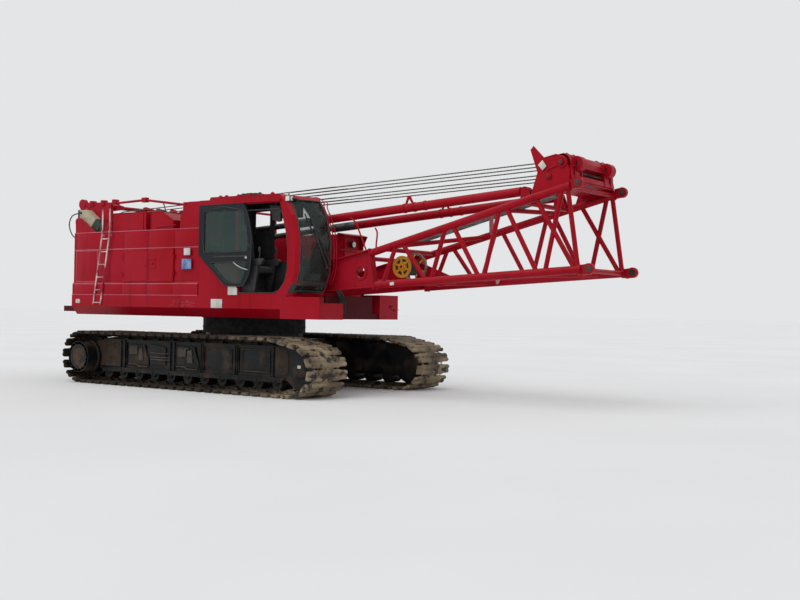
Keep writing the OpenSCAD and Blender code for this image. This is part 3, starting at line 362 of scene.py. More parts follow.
def makeStudio(values):
    scene = bpy.context.scene
    scene.view_settings.view_transform = "Standard"
    world = bpy.data.worlds.new("studioSky")
    scene.world = world
    world.use_nodes = True
    tree = world.node_tree
    tree.nodes.clear()
    ray = addNode(tree, "LightPath")
    seen = ray.outputs["Is Camera Ray"]
    for other in ("Is Glossy Ray", "Is Transmission Ray"):
        seen = addNode(tree, "Math", {0: seen, 1: ray.outputs[other]}, operation="MAXIMUM")
    plain = addNode(tree, "Background", {0: (1, 1, 1, 1), 1: values["sky"]})
    backdrop = addNode(tree, "Background", {0: hexColour(values["backdrop"]), 1: 1.0})
    addNode(tree, "OutputWorld", {0: addNode(tree, "MixShader", {0: seen, 1: plain, 2: backdrop})})
    lamp = bpy.data.lights.new("broadLamp", "SUN")
    lamp.energy = values["lamp"]
    lamp.angle = math.radians(values["lampSpread"])
    lampObject = bpy.data.objects.new("broadLamp", lamp)
    lampObject.rotation_euler = Vector(values["lampFrom"]).to_track_quat("Z", "Y").to_euler()
    scene.collection.objects.link(lampObject)
    bm = bmesh.new()
    bmesh.ops.create_circle(bm, cap_ends=True, segments=96, radius=values["radius"])
    mesh = bpy.data.meshes.new("studioFloor")
    bm.to_mesh(mesh)
    bm.free()
    floorPaint, tree, shader, place = newFinish("studioFloorPaint")
    tone = addNode(tree, "Mix", {0: patches(tree, place, values["mottleMm"]), 6: hexColour(values["floor"]),
                                 7: hexColour(values["floorMottle"])}, data_type="RGBA")
    setInputs(tree, shader, {"Base Color": tone, "Roughness": 0.9, "Specular IOR Level": 0.1})
    mesh.materials.append(floorPaint)
    floor = bpy.data.objects.new("studioFloor", mesh)
    floor.location.z = -values["drop"]
    scene.collection.objects.link(floor)


makeStudio(studio)


# Mesh helpers

def makePiece(name, bm, finish, body, smoothAngle=32):
    mesh = bpy.data.meshes.new(name)
    bmesh.ops.recalc_face_normals(bm, faces=bm.faces)
    bm.to_mesh(mesh)
    bm.free()
    mesh.materials.append(finish)
    mesh.shade_smooth()
    mesh.set_sharp_from_angle(angle=math.radians(smoothAngle))
    piece = bpy.data.objects.new(name, mesh)
    bpy.context.scene.collection.objects.link(piece)
    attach(piece, body)
    return piece


def box(x0, x1, z0, z1):
    return [(x0, z0), (x1, z0), (x1, z1), (x0, z1)]


def rim(inner, outer, edge, top, chamfer):
    # profile of a ring, or of a boss where inner is 0, with its outer edge cut off above edge
    return [(inner, 0), (outer, 0), (outer, edge), (outer - chamfer, top), (inner, top)]


def route(points, where=onUpper):
    return [where(*point) for point in points]


def turns(count, shift=0.0):
    # cosine and sine of evenly spread angles
    angles = [2 * math.pi * (k + shift) / count for k in range(count)]
    return [(math.cos(t), math.sin(t)) for t in angles]


def bridge(bm, a, b):
    # faces between two closed rings of as many corners
    for k in range(len(a)):
        m = (k + 1) % len(a)
        bm.faces.new((a[k], a[m], b[m], b[k]))


def addPlate(bm, outline, start, end, bevel=3.0, where=onUpper):
    # flat plate: outline of [x, z], from start to end across the machine
    near = [bm.verts.new(where(x, start, z)) for x, z in outline]
    far = [bm.verts.new(where(x, end, z)) for x, z in outline]
    bm.faces.new(near)
    bm.faces.new(far)
    bridge(bm, near, far)
    if bevel:
        bmesh.ops.bevel(bm, geom=list({e for v in near + far for e in v.link_edges}), offset=bevel / 1000,
                        segments=2, profile=0.6, affect="EDGES")


def addTurned(bm, profile, base, axis, sides=20, closed=False):
    # turned part: profile of [radius, distance along the axis] in mm, about base and axis in metres
    axis = axis.normalized()
    one = axis.orthogonal().normalized()
    other = axis.cross(one)
    rings = []
    for radius, along in profile:
        middle = base + axis * along / 1000
        rings.append([bm.verts.new(middle + (one * c + other * s) * radius / 1000) for c, s in turns(sides)]
                     if radius >= 0.01 else [bm.verts.new(middle)])
    for a, b in list(zip(rings, rings[1:])) + ([(rings[-1], rings[0])] if closed else []):
        for i in range(sides):
            j = (i + 1) % sides
            face = [a[i % len(a)], a[j % len(a)], b[j % len(b)], b[i % len(b)]]
            face = [v for k, v in enumerate(face) if v not in face[:k]]
            if len(face) > 2:
                bm.faces.new(face)


def addBolt(bm, place, axis, size=16, height=12):
    addTurned(bm, [(size * 1.15, 0), (size * 1.15, 3), (size * 0.92, 3), (size, 4), (size, height - 2),
                   (size * 0.8, height), (0, height)], place, axis, 6)


def addPipe(bm, points, radius, sides=10, smooth=0):
    # round bar or hose through points in metres, ends capped; smooth gives the steps of a curve through them
    points = smoothPath(points, smooth) if smooth else [Vector(p) for p in points]
    up = None
    rings = []
    for i, point in enumerate(points):
        along = (points[min(i + 1, len(points) - 1)] - points[max(i - 1, 0)]).normalized()
        up = along.orthogonal().normalized() if up is None else (up - along * up.dot(along)).normalized()
        side = along.cross(up)
        rings.append([bm.verts.new(point + (up * c + side * s) * radius / 1000) for c, s in turns(sides)])
    for a, b in zip(rings, rings[1:]):
        bridge(bm, a, b)
    bm.faces.new(rings[0])
    bm.faces.new(rings[-1])


def smoothPath(points, steps=6):
    # curve through the points (Catmull-Rom)
    points = [Vector(p) for p in points]
    path = [points[0]]
    for i in range(len(points) - 1):
        a, b, c, d = (points[max(i - 1, 0)], points[i], points[i + 1], points[min(i + 2, len(points) - 1)])
        for k in range(1, steps + 1):
            t = k / steps
            path.append(0.5 * (2 * b + (c - a) * t + (2 * a - 5 * b + 4 * c - d) * t * t
                               + (3 * b - a - 3 * c + d) * t ** 3))
    return path


# Track chains: cast shoes with ribs, worn ends and roller paths, whose middles mesh, joined by pins

track = {"shoes": 60, "length": 6990, "rear": 3500, "height": 1100, "idlerHeight": 980, "slope": 12,
         "shoeLength": 182, "shoeWidth": 1118, "thickness": 62, "middle": 1700, "lump": 8, "linkThickness": 58,
         "meshing": 370}


def chainLoop(values):
    # gives x, height and heading at a distance along the chain, from the bottom's rear end, and its length
    half, low, thick = values["height"] / 2, values["idlerHeight"] / 2, values["thickness"] / 2
    rear, front = [math.sqrt(r * r - (values["shoeLength"] / 2) ** 2) - thick for r in (half, low)]
    rearX, frontX = half - values["rear"], values["length"] - values["rear"] - low
    slope = math.radians(values["slope"])
    footX, footZ = frontX + front * math.sin(slope), low + front * math.cos(slope)
    run = 2 * half - thick
    breakX = footX - (run - footZ) / math.tan(slope)
    stretches = [frontX - rearX, front * (math.pi - slope), (footX - breakX) / math.cos(slope), breakX - rearX,
                 rear * math.pi]

    def place(s):
        part = 0
        while part < 4 and s >= stretches[part]:
            s -= stretches[part]
            part += 1
        if part == 0:
            return rearX + s, thick, 0
        if part == 1:
            turned = s / front
            return frontX + front * math.sin(turned), low - front * math.cos(turned), turned
        if part == 2:
            return footX - s * math.cos(slope), footZ + s * math.sin(slope), math.pi - slope
        if part == 3:
            return breakX - s, run, math.pi
        turned = s / rear
        return rearX - rear * math.sin(turned), half + rear * math.cos(turned), math.pi + turned
    return place, sum(stretches)


def makeTrack(name, side, values):
    place, total = chainLoop(values)
    pitch = total / values["shoes"]
    half, thick, wide = values["shoeLength"] / 2, values["thickness"] / 2, values["shoeWidth"] / 2
    section = [(-half + 6, -thick), (half - 6, -thick), (half, -thick + 10), (half - 3, 8), (half - 16, thick),
               (28, thick), (17, 14), (-17, 14), (-28, thick), (-half + 16, thick), (-half + 3, 8),
               (-half, -thick + 10)]
    stations = [(-wide, 0.8), (-wide + 12, 0.95), (-wide + 30, 1.0)]
    stations += [(-wide + 30 + (2 * wide - 60) * i / 19, 1.0) for i in range(1, 19)]
    stations += [(wide - 30, 1.0), (wide - 12, 0.95), (wide, 0.8)]
    bm = bmesh.new()
    for i in range(values["shoes"]):
        x, z, heading = place((i + 0.5) * pitch)
        c, sn = math.cos(heading), math.sin(heading)

        def onShoe(along, y, out):
            return onUpper(x + along * c + out * sn, side * values["middle"] + y, z + along * sn - out * c)
        rings = []
        for k, (y, scale) in enumerate(stations):
            ring = []
            inside = abs(y) < values["meshing"]
            tooth = (1.34 if k % 2 else 1.12) if inside else 1.0
            for along, out in section:
                lump = random.uniform(0, values["lump"]) if out > 0 else random.uniform(0, 1.5)
                reach = tooth if out <= 8 else 1.0
                ring.append(bm.verts.new(onShoe(along * scale * reach * random.uniform(0.985, 1), y,
                                                (out - lump) * (1 if scale == 1 else scale))))
            rings.append(ring)
        for a, b in zip(rings, rings[1:]):
            bridge(bm, a, b)
        bm.faces.new(rings[0])
        bm.faces.new(rings[-1])
        low = -thick - values["linkThickness"]
        for y0, y1 in ((-100, -42), (42, 100)):
            addPlate(bm, [(-106, low + 2), (106, low + 2), (112, low + 14), (100, -thick + 4), (-100, -thick + 4),
                          (-112, low + 14)], y0, y1, 4, onShoe)
        for y0, y1, a0, a1 in ((-38, 38, 60, 150), (-140, -104, -150, -60), (104, 140, -150, -60)):
            addPlate(bm, [(a0, -thick - 34), (a1 - 12, -thick - 34), (a1, -thick - 16), (a1, 4), (a0, 4)]
                     if a0 > 0 else [(a0, 4), (a0, -thick - 16), (a0 + 12, -thick - 34), (a1, -thick - 34), (a1, 4)],
                     y0, y1, 3, onShoe)
        addTurned(bm, box(0, 15, -150, 150), onShoe(pitch / 2, 0, -thick + 12), across, 8)
    return makePiece(name, bm, shoeSteel, "lower_works", 40)


for side, name in ((-1, "right"), (1, "left")):
    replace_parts(makeTrack(name + "TrackChain", side, track), "track_" + name)
print("stage: track chains")


# Track frames: plates over the front idlers, skids under the upper run, bolted covers, drive hub

frames = {"outer": 1915, "idler": (3000, 490), "cheekRadius": 366, "drive": (-2950, 550), "coverBolts": 16,
          "coverFace": 2259, "skidTop": 978}


def makeTrackFrames(values):
    bm, skids, covers, pipes, marks = [bmesh.new() for _ in range(5)]
    idlerX, idlerZ = values["idler"]
    driveX, driveZ = values["drive"]
    for side in (-1, 1):
        face = side * values["outer"]

        def onSide(x, y, z):
            return onUpper(x, face + side * y, z)
        bend = [math.radians(-100 + 172 * i / 12) for i in range(13)]
        for y0, y1 in ((0, 16), (-446, -430)):
            cheek = [(2380, 332), (2700, 300)]
            cheek += [(idlerX + values["cheekRadius"] * math.cos(t), idlerZ + values["cheekRadius"] * math.sin(t))
                      for t in bend]
            addPlate(bm, cheek + [(2440, 948), (2380, 938)], y0, y1, 4, onSide)
        addPlate(bm, box(-2560, 2660, 330, 352), 0, 70, 4, onSide)
        # guard over the rollers' upper halves, and the dark web seen behind the drive
        addPlate(bm, [(-2480, 262), (2560, 262), (2640, 340), (-2560, 340)], 46, 58, 4, onSide)
        for x in range(-2400, 2500, 480):
            addPlate(bm, [(x - 40, 262), (x + 40, 262), (x + 26, 352), (x - 26, 352)], 56, 66, 3, onSide)
        web = [(driveX + 402 * c, driveZ + 402 * s) for c, s in turns(28, 7)[:15]]
        addPlate(skids, web + [(-2300, 148), (-2300, 952)], -300, -288, 4, onSide)
        addPlate(bm, box(-2500, 2440, 925, 941), 0, 30, 4, onSide)
        addPlate(covers, box(-2700, -1990, 380, 890), -26, 6, 8, onSide)
        for loop in (box(-2706, -1986, 386, 886), box(1500, 2240, 440, 850)):
            addPipe(pipes, [onSide(x, 10, z) for x, z in loop + loop[:1]], 9, 8)
        for x in (-2735, -1965, -1845, -465, -345, 405, 1345, 2335, 455, 1395):
            addPlate(bm, box(x - 9, x + 9, 352, 925), 0, 26, 3, onSide)
        # travel gear and its pipes in the second and third recesses
        for x0, x1 in ((-1740, -1120), (-300, 340)):
            addPlate(bm, [(x0, 470), (x0 + 240, 470), (x0 + 330, 430), (x1, 430), (x1, 560), (x1 - 70, 640),
                          (x1 - 120, 850), (x0, 850)], -24, 4, 10, onSide)
            addPlate(pipes, box(x0 + 60, x0 + 300, 640, 810), 4, 34, 8, onSide)
            addPlate(pipes, [(x0 + 330, 520), (x1 - 150, 520), (x1 - 190, 790), (x0 + 330, 760)], 4, 26, 8, onSide)
            addPipe(pipes, [onSide(x0 + 20, 12, 446), onSide(x0 + 260, 16, 440), onSide(x0 + 350, 20, 404),
                            onSide(x1 - 10, 16, 400)], 15, 8, 4)
            addPipe(pipes, [onSide(x0 + 90, 22, 830), onSide(x0 + 330, 26, 812), onSide(x1 - 170, 20, 700)], 11, 8, 4)
        addPlate(bm, [(-1080, 440), (-620, 440), (-620, 800), (-900, 860), (-1080, 860)], -24, 0, 10, onSide)
        for z in (560, 610, 690):
            addPipe(pipes, [onSide(-1060, 10, z), onSide(-700, 16, z - 10), onSide(-480, 12, z)], 13, 8, 4)
        for x0, x1 in ((560, 1240), (1500, 2230)):
            addPlate(bm, box(x0, x1, 440, 840), -25, -12, 6, onSide)
            for x in (x0 + 40, x1 - 40):
                for z in (470, 810):
                    addBolt(bm, onSide(x, -12, z), across * side, 15, 11)
        addPlate(covers, [(2400, 420), (2640, 400), (2720, 470), (2720, 820), (2640, 900), (2400, 905)], 16, 24, 6,
                 onSide)
        addPlate(marks, box(2960, 3040, 545, 600), 44, 50, 3, onSide)
        # final drive: rim, bolts and hub on the round cover
        middle = onUpper(driveX, side * values["coverFace"], driveZ)
        addTurned(covers, [(262, -2), (256, -8), (252, -2), (110, 2), (104, 9), (60, 12), (0, 12)], middle,
                  across * side, 40)
        addTurned(bm, [(262, -10), (315, -34), (327, -30), (327, -6), (315, 0), (262, 0)], middle, across * side, 40,
                  True)
        for c, s in turns(values["coverBolts"]):
            addBolt(bm, onUpper(driveX + 288 * c, side * values["coverFace"], driveZ + 288 * s), across * side, 12, 8)
        addTurned(bm, [(318, 0), (345, 0), (345, 60), (318, 90)], onUpper(driveX, face, driveZ), across * side, 40,
                  True)
        addTurned(bm, [(150, -6), (150, 12), (110, 26), (50, 30), (0, 30)], onUpper(idlerX, face + side * 16, idlerZ),
                  across * side, 28)
        # skids that carry the upper run, and guards between the rollers
        addPlate(skids, [(-2460, 940), (-2360, values["skidTop"]), (2120, values["skidTop"]), (2300, 938)], -330,
                 -100, 6, onSide)
        for x in range(-2300, 2000, 460):
            addPlate(skids, [(x - 60, 930), (x + 60, 930), (x + 40, values["skidTop"] - 4),
                             (x - 40, values["skidTop"] - 4)], -400, -20, 4, onSide)
        for i in range(11):
            x = (i - 5) * 480
            addTurned(skids, [(62, 0), (62, 12), (38, 22), (38, 30), (0, 30)], onUpper(x, side * 1885, 255),
                      across * side, 20)
            if i < 10:
                addPlate(skids, [(x + 150, 330), (x + 330, 330), (x + 300, 262), (x + 180, 262)], -32, -8, 3, onSide)
    for name, made, finish in (("trackFrameFittings", bm, lowerPaint), ("trackFrameCovers", covers, rustyPlate),
                               ("trackFramePipes", pipes, scuffedPaint), ("trackFrameTags", marks, plateWhite),
                               ("trackSkids", skids, lowerPaint)):
        makePiece(name, made, finish, "lower_works")


makeTrackFrames(frames)


# Carbody and slewing ring: ring bolts, two bands, bolted beam ends and gussets round the pedestal

ring = {"bolts": 48, "gussets": 12}


def makeRing(values):
    bm = bmesh.new()
    for c, s in turns(values["bolts"]):
        addBolt(bm, onUpper(915 * c, 915 * s, 1180), -upward, 17, 14)
        addBolt(bm, onUpper(985 * c, 985 * s, 1179.7), upward, 16, 16)
    for band in ([(962, 1205), (972, 1209), (972, 1231), (962, 1236)],
                 [(962, 1262), (974, 1266), (974, 1290), (962, 1294)]):
        addTurned(bm, band, onUpper(0, 0, 0), upward, 72, True)
    makePiece("ringBolts", bm, ringSteelAndShade, "lower_works")
    bm = bmesh.new()
    for x in (-820, 820):
        for s in (-1, 1):
            addPlate(bm, box(x - 230, x + 230, 470, 910), s * 1440, s * 1462, 6)
            for dx in (-190, -95, 0, 95, 190):
                for z in (500, 880):
                    addBolt(bm, onUpper(x + dx, s * 1440, z), -across * s, 17, 14)
    for c, s in turns(values["gussets"], 0.5):
        near, far = 1022, 1070 if abs(s) > 0.6 else 1050
        addPlate(bm, [(near, 1000), (far, 1000), (near, 1150)], -8, 8, 0,
                 lambda x, y, z: onUpper(x * c - y * s, x * s + y * c, z))
    makePiece("carbodyGussets", bm, lowerPaint, "lower_works")


makeRing(ring)


# Round near-black guard under the deck that hides the slewing ring from the side: a painted shadow that stands for
# the dark mass under the deck

guard = {"radius": 1078, "thickness": 14, "low": 1116, "high": 1437, "bolts": 16}


def makeRingGuard(values):
    r, low, high = values["radius"], values["low"], values["high"]
    inside = r - values["thickness"]
    bm = bmesh.new()
    addTurned(bm, [(inside, low), (r + 12, low), (r + 12, low + 14), (r, low + 20), (r, high - 18),
                   (r + 26, high - 14), (r + 26, high), (inside, high)], onUpper(0, 0, 0), upward, 80, True)
    for c, s in turns(values["bolts"]):
        addBolt(bm, onUpper((r - 1) * c, (r - 1) * s, low + 120), Vector((c, s, 0)), 15, 10)
    makePiece("ringShadeGuard", bm, shadowBlack, "upper")


makeRingGuard(guard)
print("stage: lower works")


# House sides: panels of folded sheet with seams between them, ledges painted paler as painted highlights, and a
# framed panel

house = {"seam": 7, "skin": 5, "face": 1600, "band": 1640, "doors": (-2400, -700),
         "seams": (-3990, -3935, -3150, -2334, -1554, -756, -24),
         "leftSeams": (-3990, -3935, -3150, -2334, -1554, -756, 50, 850, 1646)}


def makeHouseSide(side, seams, values):
    name = "right" if side < 0 else "left"

    def onSide(x, y, z):
        return onUpper(x, side * y, z)
    bm = bmesh.new()
    ledges = bmesh.new()
    half, skin, face, band = values["seam"] / 2, values["skin"], values["face"], values["band"]
    for x0, x1 in zip(seams, seams[1:]):
        behindDoor = x0 >= values["doors"][0] and x1 <= values["doors"][1]
        a, b = x0 + half, x1 - half
        addPlate(bm, box(a, b, 2870, 3212), face - 1, face + skin, 3, onSide)
        addPlate(ledges, box(a, b, 2836, 2862), face - 2, face + 14, 4, onSide)
        addPlate(bm, box(a, b, 1874, 2096), band - 1, band + skin, 3, onSide)
        if not behindDoor and x1 - x0 > 100:
            addPlate(bm, box(a, b, 2165, 2832), face - 1, face + skin, 3, onSide)
        addPlate(ledges, box(a, b, 2096, 2116), band - 8, band + 8, 3, onSide)
    first, last = seams[0], seams[-1]
    addPlate(ledges, box(first, last, 3218, 3238), face - 26, face + 4, 3, onSide)
    addPlate(ledges, box(first - 4, last, 1862, 1878), band + 2, band + 13, 2, onSide)
    # rear corner post
    addPlate(bm, box(first - 10, first + 22, 1866, 3226), face - 20, face + 6, 4, onSide)
    # framed bare panel near the rear corner, its frame strips painted paler as painted highlights like the ledges
    for strip in ((-3929, -3915, 2150, 2833), (-3203, -3189, 2150, 2833), (-3915, -3203, 2150, 2164),
                  (-3915, -3203, 2819, 2833)):
        addPlate(ledges, box(*strip), face + 2, face + 9, 2, onSide)
    makePiece(name + "HouseLedges", ledges, ledgeHighlightEnamel, "upper")
    makePiece(name + "HousePanels", bm, houseEnamel, "upper")


makeHouseSide(-1, house["seams"], house)
makeHouseSide(1, house["leftSeams"], house)


# Service doors: stiffened edges, sunk latch and hinge leaves

doorDetail = {"latch": 118, "edge": 34, "height": (2156, 2834), "face": 1625}


def makeDoorDetail(name, body, side, x0, x1, hasLatch, values):
    def onSide(x, y, z):
        return onUpper(x, side * y, z)
    bm = bmesh.new()
    a, b, edge, face = x0 + 9, x1 - 9, values["edge"], values["face"]
    foot, top = values["height"]
    for strip in ((a, b, foot, foot + edge), (a, b, top - edge, top), (a, a + edge, foot + edge, top - edge),
                  (b - edge, b, foot + edge, top - edge)):
        addPlate(bm, box(*strip), face, face + 3, 1.5, onSide)
    if hasLatch:
        middle, zMiddle, size, tall = x0 + 132, 2528, values["latch"], values["latch"] * 0.8
        for strip in ((-size, size, -tall, 14 - tall), (-size, size, tall - 14, tall),
                      (-size, 14 - size, -tall, tall), (size - 14, size, -tall, tall)):
            addPlate(bm, [(middle + x, zMiddle + z) for x, z in box(*strip)], face, face + 6, 2, onSide)
        addTurned(bm, [(34, 1), (34, 8), (26, 12), (0, 12)], onSide(middle, face, zMiddle), across * side, 20)
        addPlate(bm, box(middle - 46, middle + 46, zMiddle - 9, zMiddle + 9), face + 11, face + 17, 3, onSide)
    else:
        addTurned(bm, [(26, 0), (26, 5), (20, 8), (0, 8)], onSide(x1 - 90, face, 2490), across * side, 20)
    for z in (2290, 2700):
        hinge = x0 + 22 if not hasLatch else x1 - 22
        addTurned(bm, box(0, 9, -42, 42), onSide(hinge, 1630, z), upward, 12)
    makePiece(name, bm, houseEnamel, body)


for side, name in ((-1, "right"), (1, "left")):
    makeDoorDetail(name + "RearDoorDetail", name + "_rear_door", side, -2330, -1550, False, doorDetail)
    makeDoorDetail(name + "FrontDoorDetail", name + "_front_door", side, -1550, -760, True, doorDetail)
print("stage: houses")


# Cab outside: seals and rims round the panes, wipers, guard rails, work lamp, roof lugs, door furniture

cab = {"sealRadius": 15, "railRadius": 10, "screenNear": -1590, "screenFar": -1012, "railsAt": -944,
       "paneFace": -1687, "front": [(1866, 2660), (2080, 2800), (2300, 2880), (2900, 2905), (3400, 2790),
                                    (3700, 2600), (3770, 2520)], "bulge": [(-1640, 330), (-1570, 200), (-1440, 95),
                                                                           (-1220, 20), (-962, 0)]}


def between(rows, at):
    for (a, low), (b, high) in zip(rows, rows[1:]):
        if a <= at <= b:
            return low + (high - low) * (at - a) / (b - a)


def spread(low, high, steps):
    return [low + (high - low) * i / steps for i in range(steps + 1)]


def onScreen(y, z, proud=0):
    # a point on the cab's bowed front
    return onUpper(between(cab["front"], z) - between(cab["bulge"], y) + proud, y, z)


def makeCabOutside(values):
    near, far, rails = values["screenNear"], values["screenFar"], values["railsAt"]
    seals = bmesh.new()
    for low, high in ((2136, 3684), (1966, 2079)):
        levels, sides = spread(low, high, 8), spread(near, far, 8)
        edge = [onScreen(near, z, 6) for z in levels] + [onScreen(y, high, 6) for y in sides[1:]]
        edge += [onScreen(far, z, 6) for z in reversed(levels[:-1])]
        edge += [onScreen(y, low, 6) for y in reversed(sides[:-1])]
        addPipe(seals, edge, values["sealRadius"], 8)
    # black rim round the lower pane, carried back to the corner
    for y0, y1, z0, z1 in ((-1636, -1004, 2084, 2116), (-1636, -1004, 1926, 1962), (-1636, -1592, 1962, 2084)):
        rows = []
        for proud in (7, 1):
            rows.append([[seals.verts.new(onScreen(y, z, proud)) for y in spread(y0, y1, 12)] for z in (z0, z1)])
        (lowOut, highOut), (lowIn, highIn) = rows
        for i in range(12):
            for a, b in ((lowOut, highOut), (highOut, highIn), (highIn, lowIn), (lowIn, lowOut)):
                seals.faces.new((a[i], a[i + 1], b[i + 1], b[i]))
        for i in (0, 12):
            seals.faces.new((lowOut[i], highOut[i], highIn[i], lowIn[i]))
    for loop in ([(190, 2730), (1362, 2730), (1384, 2900), (1366, 3080), (1222, 3540), (190, 3540)],
                 [(430, 2520), (1335, 2520), (1322, 2420), (1225, 2122), (885, 2122), (800, 2155), (408, 2480)]):
        edge = [onUpper(x, values["paneFace"], z) for x, z in loop]
        addPipe(seals, edge + edge[:1], 8, 8, 2)
    makePiece("windscreenSeals", seals, hoseRubber, "upper")

    bm = bmesh.new()
    for top, foot in (((-1458, 3208), (-1092, 2416)), ((-1374, 3136), (-1020, 2458))):
        a, b = onScreen(*top, 34), onScreen(*foot, 40)
        addPipe(bm, [a, (a + b) / 2 + Vector((0.028, -0.01, 0)), b], 12, 8)
        blade = (b - a).normalized()
        middle = a + (b - a) * 0.08
        addPipe(bm, [onScreen(top[0] - 28, top[1] + 210, 14), middle + Vector((-0.012, 0, 0)),
                     onScreen(top[0] + 44, top[1] - 230, 14)], 13, 6)
        addTurned(bm, [(0, -16), (26, -16), (26, 14), (12, 24), (0, 24)], b - blade * 0.01 - ahead * 0.012, ahead, 14)
    makePiece("wipers", bm, cabPlastic, "upper")

    bm = bmesh.new()
    edge = [(2668, 3560), (2800, 3300), (2905, 2950), (2922, 2500), (2890, 2290), (2820, 2100)]
    for gap in (12, 74):
        points = [onUpper(x + gap, rails, z + gap * 0.2) for x, z in edge]
        addPipe(bm, points, values["railRadius"], 10, 5)
    loop = [onUpper(x, rails, z) for x, z in ((2680, 3562), (2662, 3640), (2684, 3692), (2728, 3690), (2752, 3640),
                                              (2742, 3574))]
    addPipe(bm, loop, values["railRadius"], 10, 4)
    addPipe(bm, route([(2400, -950, 3784), (2520, -946, 3770), (2640, rails, 3700), (2672, rails, 3640)]),
            values["railRadius"], 10, 4)
    for x, z in ((2740, 3440), (2880, 3040), (2915, 2600), (2850, 2180)):
        addPipe(bm, route([(x - 40, -964, z - 6), (x + 14, rails, z), (x + 88, rails, z + 15)]), 8, 8)
    makePiece("cabGuardRails", bm, gantryEnamel, "upper")

    # work lamp on its bracket at the top front corner
    bm = bmesh.new()
    addPlate(bm, [(2286, 3652), (2408, 3652), (2420, 3668), (2420, 3756), (2398, 3772), (2300, 3772)], -1640, -1560,
             10)
    addPipe(bm, route([(2330, -1600, 3768), (2360, -1590, 3800), (2300, -1560, 3800)]), 8, 8, 4)
    makePiece("workLampBody", bm, cabPlastic, "upper")
    bm = bmesh.new()
    addPlate(bm, [(2304, 3664), (2404, 3664), (2404, 3758), (2312, 3758)], -1644, -1638, 2)
    addPlate(bm, box(2418, 2424, 3668, 3752), -1628, -1572, 2)
    makePiece("workLampLens", bm, lampLens, "upper")

    # roof: lifting lugs, hatch and aerial base
    bm = bmesh.new()
    for x in (431, 598, 929, 1200, 1835):
        addPlate(bm, [(x - 42, 3826), (x + 42, 3826), (x + 30, 3862), (x - 30, 3862)], -1512, -1470, 8)
        addBolt(bm, onUpper(x, -1491, 3861), upward, 14, 10)
    makePiece("cabRoofLugs", bm, houseEnamel, "upper")
    bm = bmesh.new()
    addPlate(bm, [(820, 3832), (1420, 3832), (1394, 3874), (1330, 3886), (1230, 3872), (1130, 3892), (1000, 3876),
                  (860, 3868)], -1440, -1180, 8)
    for x in (880, 1090, 1330):
        addTurned(bm, [(34, 0), (34, 30), (22, 44), (0, 44)], onUpper(x, -1310, 3862), upward, 16)
    makePiece("cabRoofVent", bm, cabPlastic, "upper")

    # sliding door: grab bar, knob, edge seal
    bm = bmesh.new()
    addPipe(bm, route([(1030, -1684, 2525), (1050, -1712, 2508), (1203, -1716, 2426), (1380, -1712, 2375),
                       (1401, -1684, 2372)]), 11, 10, 4)
    makePiece("doorGrabBar", bm, scuffedSteel, "cab_door")
    bm = bmesh.new()
    addTurned(bm, [(0, -6), (26, -6), (26, 10), (16, 24), (0, 26)], onUpper(1351, -1686, 2606), -across, 18)
    makePiece("doorKnob", bm, plateWhite, "cab_door")
    bm = bmesh.new()
    seal = [(640, 2170), (760, 2080), (860, 2056), (1290, 2056), (1400, 2230), (1450, 2400), (1475, 2650),
            (1470, 3060), (1400, 3350), (1340, 3520)]
    addPipe(bm, [onUpper(x, -1683, z) for x, z in seal], 9, 8)
    addPlate(bm, box(470, 1380, 2620, 2652), -1692, -1684)
    makePiece("doorEdgeSeal", bm, hoseRubber, "cab_door")

    # doorway: dark sill, step plate and side trims
    bm = bmesh.new()
    addPlate(bm, [(1130, 1922), (2050, 1922), (2140, 1960), (2120, 1972), (2040, 1936), (1140, 1936)], -1652, -1560)
    trim = [(2200, 2010), (2310, 2140), (2370, 2350), (2385, 2740), (2330, 3100), (2230, 3440), (2160, 3520)]
    addPipe(bm, [onUpper(x - 6, -1628, z) for x, z in trim], 12, 8)
    addPipe(bm, [onUpper(x, -1628, 3522) for x in (1110, 1640, 2150)], 12, 8)
    makePiece("doorwayTrim", bm, hoseRubber, "upper")


makeCabOutside(cab)


# Cab inside: near-black lining, painted shade of the cab's inside, with its windows, controls, screen and padded seat

cabInside = {"cushionFill": 0.75, "crown": 42}


